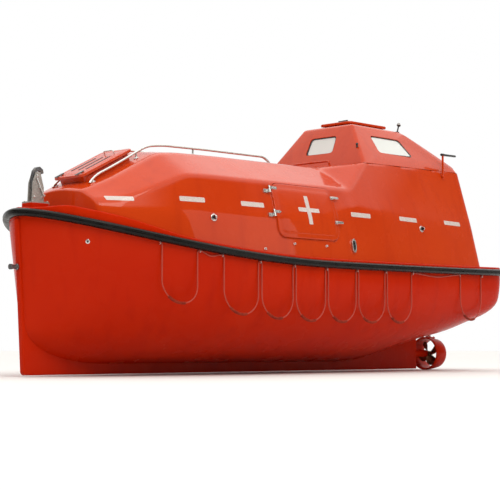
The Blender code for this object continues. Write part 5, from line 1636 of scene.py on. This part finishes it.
def make_vents(tree):
    """The oval vents' slats, over near-black floors that are painted shade in their recesses."""
    for side, _ in SIDES:
        dress("vent_" + side, "steel", 0.002)
    low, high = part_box("vent_port")
    point, normal = side_hit(tree, (low.x + high.x) / 2, (low.z + high.z) / 2 + DRAFT)
    floor = [(-0.0576 * math.sin(t), 0.0196 * math.cos(t)) for t in around(32)]
    slats = []
    for k in range(-2, 3):
        middle = k * 0.018
        reach = 0.0190 * math.sqrt(1 - (middle / 0.058) ** 2)
        slats.append(block((middle - 0.003, -reach, 0.006), (middle - 0.001, reach, 0.016)))
    # A near-black plate in each vent's recess: painted shade.
    piece("vent_floor_painted_shade", both(stood(prism(floor, "z", 0.0066, 0.0080), point, normal, UPWARD)), "painted_shade_and_dial_black")
    piece("vent_slats", both(stood(stack(*slats), point, normal, UPWARD)), "dark_steel")


def make_studs(tree, hull_tree):
    """Studs under the doors, and the outlets through the hull forward."""
    stud = upright(((-0.002, 0.011), (0.002, 0.011), (0.004, 0.0075), (0.012, 0.0075), (0.014, 0.011),
                    (0.019, 0.010), (0.021, 0.006)), 24)
    piece("side_studs", both(stack(*(stood(stud, *side_hit(tree, x, h)) for x, h in STUDS))), "steel")
    outlet = upright(((-0.003, 0.020), (0.002, 0.020), (0.004, 0.016), (0.004, 0.010)), 28)
    # A thin near-black disc in each outlet's bore: painted shade.
    hole = upright(((0.0035, 0.0102), (0.0046, 0.0098)), 20)
    place = side_hit(hull_tree, *HULL_OUTLET)
    piece("hull_outlets", both(stood(outlet, *place)), "steel")
    piece("hull_outlet_holes_painted_shade", both(stood(hole, *place)), "painted_shade_and_dial_black")


def make_stem_fitting():
    dress("stem_fitting", "dark_steel", 0.0015)
    low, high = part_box("stem_fitting")
    centre = Vector((low.x, 0, (low.z + high.z) / 2))
    bolts = [(centre + Vector((0.012, 0.0245 * math.cos(t), 0.0245 * math.sin(t))), FORWARD)
             for t in (0.8, 2.35, 3.9, 5.5)]
    piece("stem_fitting_bolts", hexagon_bolts(bolts, 0.003), "steel")


def make_lamp(tower_tree):
    foot, normal = top_hit(tower_tree, *LAMP_PLACE)
    lean = Vector((-0.35, 0, 1)).normalized()
    base = turned(((-0.006, 0.026), (0.006, 0.026), (0.010, 0.022), (0.012, 0.011)), foot, normal, 28)
    profile = ((0.0, 0.0085), (0.080, 0.0085), (0.082, 0.016), (0.086, 0.0215), (LAMP_NECK, 0.0230))
    stem = turned(profile, foot, lean, 28)
    piece("signal_lamp_base", stack(base, stem), "black_plastic", replaces=("signal_lamp",))
    dome = [(LAMP_NECK, 0.0215)]
    dome += [(LAMP_NECK + 0.026 * math.sin(t), 0.0215 * math.cos(t)) for t in np.linspace(0.1, 1.5, 9)]
    piece("signal_lamp_glass", turned(dome, foot, lean, 28), "lamp_glass")
    side = lean.orthogonal().normalized()
    cage = []
    for turn in around(4, 0.4):
        out = side * math.cos(turn) + lean.cross(side) * math.sin(turn)
        arc = [foot + lean * (0.093 + 0.0285 * math.sin(t)) + out * 0.0240 * math.cos(t)
               for t in np.linspace(0.0, 1.5, 9)]
        cage.append(tube(arc, 0.0016, 8))
    piece("signal_lamp_cage", stack(*cage), "black_plastic")


def make_corner_light(tree):
    """A small dark lamp on a stub at the tower's forward port corner."""
    point = top_hit(tree, *CORNER_LIGHT_PLACE)[0]
    out = Vector((0.55, 0.35, 0.9)).normalized()
    profile = ((-0.004, 0.012), (0.006, 0.012), (0.008, 0.006), (0.020, 0.006), (0.021, 0.013),
               (0.040, 0.014), (0.046, 0.009))
    piece("corner_light", turned(profile, point, out, 20), "black_plastic")


def make_aerial():
    low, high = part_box("aerial_post")
    x, y, top = AERIAL_X, (low.y + high.y) / 2, up(AERIAL_TOP)
    post = tube([(x, y, low.z), (x, y, top)], 0.012, 20)
    collar = turned(((0.0, 0.016), (0.020, 0.016), (0.024, 0.0125)), (x, y, low.z + 0.010), UPWARD, 24)
    piece("aerial_stem", stack(post, collar), "canopy_orange", replaces=("aerial_post",), angle=40)
    aft = (-1, 0, 0.016)
    profile = ((-0.035, 0.008), (-0.032, 0.0125), (0.236, 0.0125), (0.242, 0.010), (0.245, 0.005))
    bar = turned(profile, (x, y, top), aft, 24)
    saddle = turned(((-0.022, 0.0155), (0.022, 0.0155)), (x, y, top), aft, 24)
    piece("aerial_bar", stack(bar, saddle), "black_plastic")


def make_grab_bar(tree):
    low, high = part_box("tower_grab_bar")
    x, z, half = (low.x + high.x) / 2, high.z - 0.011, BAR_HALF
    foot = top_hit(tree, x, half)[0].z
    corners = ((half, foot), (half, z - 0.012), (half - 0.03, z))
    corners += tuple((-y, height) for y, height in reversed(corners))
    shapes = [tube(bent([(x, y, height) for y, height in corners], 0.022, 5), 0.011, 18)]
    shapes += [foot_plate(0.022, *top_hit(tree, x, y)) for y in (-half, half)]
    piece("tower_bar", stack(*shapes), "canopy_orange", replaces=("tower_grab_bar",), angle=50)


# Cabin

def pad_form(bounds, z0, z1):
    """A pad with rounded sides and a crowned top, a little thinner than it swells to."""
    x0, x1, y0, y1 = bounds
    thick = z1 - z0
    loops = []
    for inset, share in ((0.06, 0.0), (0.012, 0.0), (0.003, 0.14), (0.0, 0.40), (0.003, 0.66), (0.014, 0.84),
                         (0.038, 0.94), (0.075, 0.985), (0.11, 1.0)):
        outline = rounded(x0 + inset, x1 - inset, y0 + inset, y1 - inset, max(0.05 - inset, 0.015), along=8)
        loops.append([(x, y, z0 + thick * share) for x, y in outline])
    return loft(loops)


def swollen(shape, rest):
    """A pad after its skin has swollen under pressure as cloth, each point held near where it began."""
    made = mesh_object("pad_form", shape, "vinyl")
    skin = made.modifiers.new("skin", "REMESH")
    skin.mode = "VOXEL"
    skin.voxel_size = PAD_VOXEL
    settle(made)
    points = [vertex.co.copy() for vertex in made.data.vertices]
    faces = [tuple(face.vertices) for face in made.data.polygons]
    cloth = made.modifiers.new("cloth", "CLOTH")
    cloth.settings.use_pressure = True
    cloth.settings.uniform_pressure_force = 4.0
    cloth.settings.effector_weights.gravity = 0.0
    for step in range(1, 21):
        bpy.context.scene.frame_set(step)
    graph = bpy.context.evaluated_depsgraph_get()
    for i, vertex in enumerate(made.evaluated_get(graph).data.vertices):
        move = vertex.co - points[i]
        points[i] = points[i] + move * min(1.0, PAD_CAP / max(move.length, 1e-6))
        points[i].z = max(points[i].z, rest)
    bpy.context.scene.frame_set(1)
    bpy.data.objects.remove(made)
    return points, faces


def pad(name, shape):
    made = piece(name, shape, "vinyl", angle=180)
    made.modifiers.new("smooth", "SUBSURF").levels = 1
    made.modifiers["smooth"].render_levels = 1


def make_benches():
    seat = swollen(pad_form(SEAT_FORM, 0.0, SEAT_THICK), 0.0)
    for side, way in (("port", 1), ("starboard", -1)):
        dress("bench_" + side, "liner", 0.008)
        for k, x in enumerate(SEAT_X):
            place = Matrix.Translation((x, way * SEAT_Y, up(SOLE) + SEAT_TOP))
            pad("seat_pad_%s_%d" % (side, k + 1), moved(seat, place))


def make_helm():
    sole = up(SOLE)
    profile = ((0.0005, 0.16), (0.012, 0.16), (0.020, 0.150), (0.024, 0.055), (0.86, 0.050), (0.88, 0.13),
               (0.90, 0.14))
    piece("helm_pedestal", turned(profile, (-1.41, 0, sole), UPWARD, 40), "liner", replaces=("helm_seat",))
    foot, top = (sole + height for height in HELM_HEIGHTS)
    pad("helm_pad", swollen(pad_form(HELM_FORM, foot, top), foot))
    back = []
    for inset, share in ((0.05, 0.0), (0.006, 0.1), (0.0, 0.3), (0.0, 0.7), (0.012, 0.92), (0.05, 1.0)):
        outline = rounded(-0.217 + inset, 0.217 - inset, sole + 1.0 + inset, sole + 1.388 - inset,
                          max(0.07 - inset, 0.015), along=6)
        back.append([(-1.610 + 0.050 * share, y, z) for y, z in outline])
    pad("helm_back", swollen(loft(back), sole))
    bracket = block((-1.60, -0.04, sole + 0.90), (-1.585, 0.04, sole + 1.05))
    piece("helm_back_bracket", bracket, "dark_steel", bevel=0.003)
    make_console(sole)


def make_console(sole):
    """The helm's console with its dials."""
    outline = [(-0.92, sole), (-0.72, sole), (-0.72, sole + 1.06), (-0.78, sole + 1.10), (-0.84, sole + 1.10),
               (-0.92, sole + 0.98)]
    piece("console_body", prism(outline, "y", -0.30, 0.30), "liner", bevel=0.012, replaces=("helm_console",))
    tilt = Vector((-0.83, 0, 0.55)).normalized()
    dial = ((-0.002, 0.030), (0.002, 0.030))
    rim = ((-0.002, 0.034), (0.005, 0.034), (0.006, 0.031), (0.002, 0.030))
    for name, profile, finish in (("console_dials", dial, "painted_shade_and_dial_black"), ("console_rims", rim, "steel")):
        shapes = [turned(profile, (-0.882, y, sole + 1.037), tilt, 24) for y in (-0.20, -0.10, 0.12, 0.22)]
        piece(name, stack(*shapes), finish)
    make_wheel(Vector((-0.935, 0, sole + 0.90)))
    make_throttle(sole)


def make_wheel(centre):
    axis = Vector((-1, 0, 0.30)).normalized()
    side = Vector((0, 1, 0))
    other = axis.cross(side)
    hub = centre + axis * 0.085
    ring = [circle(point, (point - hub).normalized(), axis, 0.012, around(12))
            for point in circle(hub, side, other, 0.155, around(48))]
    boss = turned(((-0.09, 0.016), (-0.01, 0.018), (0.0, 0.034), (0.012, 0.030)), hub, axis, 24)
    spokes = [tube([hub, end], 0.006, 10) for end in circle(hub, side, other, 0.15, around(4))]
    piece("console_wheel", stack(loft(ring, closed=True), boss, *spokes), "black_plastic")


def make_throttle(sole):
    y = -0.27
    route = bent([(x, y, sole + rise) for x, rise in ((-0.86, 1.07), (-0.90, 1.17), (-0.93, 1.20))])
    profile = ((0.0, 0.006), (0.006, 0.013), (0.020, 0.015), (0.030, 0.009))
    knob = turned(profile, (-0.93, y, sole + 1.195), (-0.6, 0, 1), 20)
    piece("console_throttle", stack(tube(route, 0.006, 10), knob), "black_plastic")


def make_engine():
    """A small marine diesel in the solid's space."""
    sole = up(SOLE)
    # x from and to, y from and to, height above the sole from and to
    blocks = (
        (-2.30, -1.64, -0.25, -0.17, 0.001, 0.09),
        (-2.30, -1.64, 0.17, 0.25, 0.001, 0.09),
        (-2.14, -1.72, -0.16, 0.16, 0.06, 0.30),
        (-2.10, -1.76, -0.13, 0.13, 0.30, 0.38),
        (-2.08, -1.78, -0.09, 0.05, 0.38, 0.445),
        (-2.30, -2.14, -0.10, 0.10, 0.08, 0.26),
        (-2.22, -2.12, -0.24, 0.24, 0.09, 0.12),
        (-1.82, -1.74, -0.24, 0.24, 0.09, 0.12),
    )
    shapes = [block((x0, y0, sole + z0), (x1, y1, sole + z1)) for x0, x1, y0, y1, z0, z1 in blocks]
    piece("engine_block", stack(*shapes), "grey_paint", bevel=0.008, replaces=("engine",))
    flywheel = turned(((0.0, 0.13), (0.03, 0.13), (0.035, 0.10)), (-1.72, 0, sole + 0.17), FORWARD, 36)
    oil_filter = turned(((0.0, 0.045), (0.12, 0.045), (0.125, 0.03)), (-1.95, 0.20, sole + 0.14), UPWARD, 24)
    manifold_z = sole + 0.33
    shapes = [flywheel, oil_filter, tube([(-2.06, 0.155, manifold_z), (-1.80, 0.155, manifold_z)], 0.030, 16)]
    cap = ((0.0, 0.012), (0.02, 0.012), (0.024, 0.008))
    for k in range(3):
        x = -2.02 + 0.095 * k
        shapes.append(tube([(x, 0.11, manifold_z), (x, 0.16, manifold_z)], 0.020, 14))
        shapes.append(turned(cap, (x, -0.02, sole + 0.444), UPWARD, 16))
    piece("engine_fittings", stack(*shapes), "dark_steel")
    bends = ((-2.06, 0.33), (-2.20, 0.34), (-2.26, 0.20), (-2.29, 0.06))
    route = bent([(x, 0.155, sole + rise) for x, rise in bends], 0.05)
    piece("exhaust_pipe", tube(route, 0.022, 14), "dark_steel")


# Stage, light and camera

def make_stage():
    half = FLOOR_HALF
    mesh = bpy.data.meshes.new("floor")
    corners = [(x, y, FLOOR_Z) for x, y in ((-half, -half), (half, -half), (half, half), (-half, half))]
    mesh.from_pydata(corners, [], [(0, 1, 2, 3)])
    floor = bpy.data.objects.new("floor", mesh)
    made = new_material("floor_white", (0.70, 0.70, 0.70), 0.8)
    tint = noise(made, 0.6, 2.0)
    connect(made, colour_between(made, tint, (0.70, 0.70, 0.70), (0.73, 0.73, 0.73)), "Base Color")
    mesh.materials.append(made)
    bpy.context.scene.collection.objects.link(floor)


def area_light(name, place, aim, size, power):
    data = bpy.data.lights.new(name, "AREA")
    data.shape = "RECTANGLE"
    data.size, data.size_y = size
    data.energy = power
    data.color = WARM
    light = bpy.data.objects.new(name, data)
    light.location = place
    light.rotation_euler = (Vector(aim) - Vector(place)).to_track_quat("-Z", "Y").to_euler()
    bpy.context.scene.collection.objects.link(light)


def make_world():
    """A plain studio wall, white behind the boat and greyer behind the camera, under a soft ceiling."""
    world = bpy.data.worlds.new("studio")
    bpy.context.scene.world = world
    world.use_nodes = True
    tree = world.node_tree
    place = tree.nodes.new("ShaderNodeTexCoord")
    along = tree.nodes.new("ShaderNodeVectorMath")
    along.operation = "DOT_PRODUCT"
    along.inputs[1].default_value = (-0.706, -0.708, 0.0)
    ramp = tree.nodes.new("ShaderNodeValToRGB")
    split = tree.nodes.new("ShaderNodeSeparateXYZ")
    ceiling = tree.nodes.new("ShaderNodeMapRange")
    mix = tree.nodes.new("ShaderNodeMixRGB")
    for start, end in ((place.outputs["Generated"], along.inputs[0]),
                       (place.outputs["Generated"], split.inputs["Vector"]),
                       (along.outputs["Value"], ramp.inputs["Fac"]),
                       (split.outputs["Z"], ceiling.inputs["Value"]),
                       (ceiling.outputs["Result"], mix.inputs["Fac"]),
                       (ramp.outputs["Color"], mix.inputs["Color1"]),
                       (mix.outputs["Color"], tree.nodes["Background"].inputs["Color"])):
        tree.links.new(start, end)
    ceiling.inputs["From Min"].default_value = 0.46
    ceiling.inputs["From Max"].default_value = 0.60
    mix.inputs["Color2"].default_value = (1.75, 1.70, 1.62, 1)
    stops = ((0.40, (0.16, 0.14, 0.12, 1)), (0.75, (1.0, 1.0, 1.0, 1)))
    for stop, (position, colour) in zip(ramp.color_ramp.elements, stops):
        stop.position = position
        stop.color = colour


def make_camera():
    data = bpy.data.cameras.new("camera")
    data.sensor_width = SENSOR
    data.lens = FOCAL_SHARE * SENSOR
    data.clip_end = 500.0
    camera = bpy.data.objects.new("camera", data)
    heading, pitch = math.radians(CAMERA_HEADING), math.radians(CAMERA_PITCH)
    level = math.cos(pitch)
    look = Vector((-math.sin(heading) * level, -math.cos(heading) * level, math.sin(pitch)))
    camera.location = CAMERA_PLACE
    camera.rotation_euler = look.to_track_quat("-Z", "Y").to_euler()
    bpy.context.scene.collection.objects.link(camera)
    bpy.context.scene.camera = camera


def make_light():
    make_world()
    for light in LIGHTS:
        area_light(*light)
    scene = bpy.context.scene
    scene.view_settings.view_transform = "Standard"
    scene.view_settings.look = "None"


def main():
    make_camera()
    make_light()
    make_stage()
    hull_tree = make_hull()
    canopy_tree = make_canopy()
    tower_tree = make_tower()
    make_side_doors(canopy_tree)
    make_tapes(canopy_tree)
    make_front_hatch()
    make_roof_hatch()
    make_aft_hatch()
    for place in ("port_lower", "port_upper", "starboard_lower", "starboard_upper"):
        dress("door_hinge_" + place, "steel", 0.0012)
    make_fender()
    make_lifelines()
    make_rails(canopy_tree)
    make_hooks()
    make_nozzle()
    make_propeller()
    make_side_outlets(canopy_tree)
    make_vents(canopy_tree)
    make_studs(canopy_tree, hull_tree)
    make_stem_fitting()
    make_lamp(tower_tree)
    make_corner_light(tower_tree)
    make_aerial()
    make_grab_bar(canopy_tree)
    make_benches()
    make_helm()
    make_engine()


main()
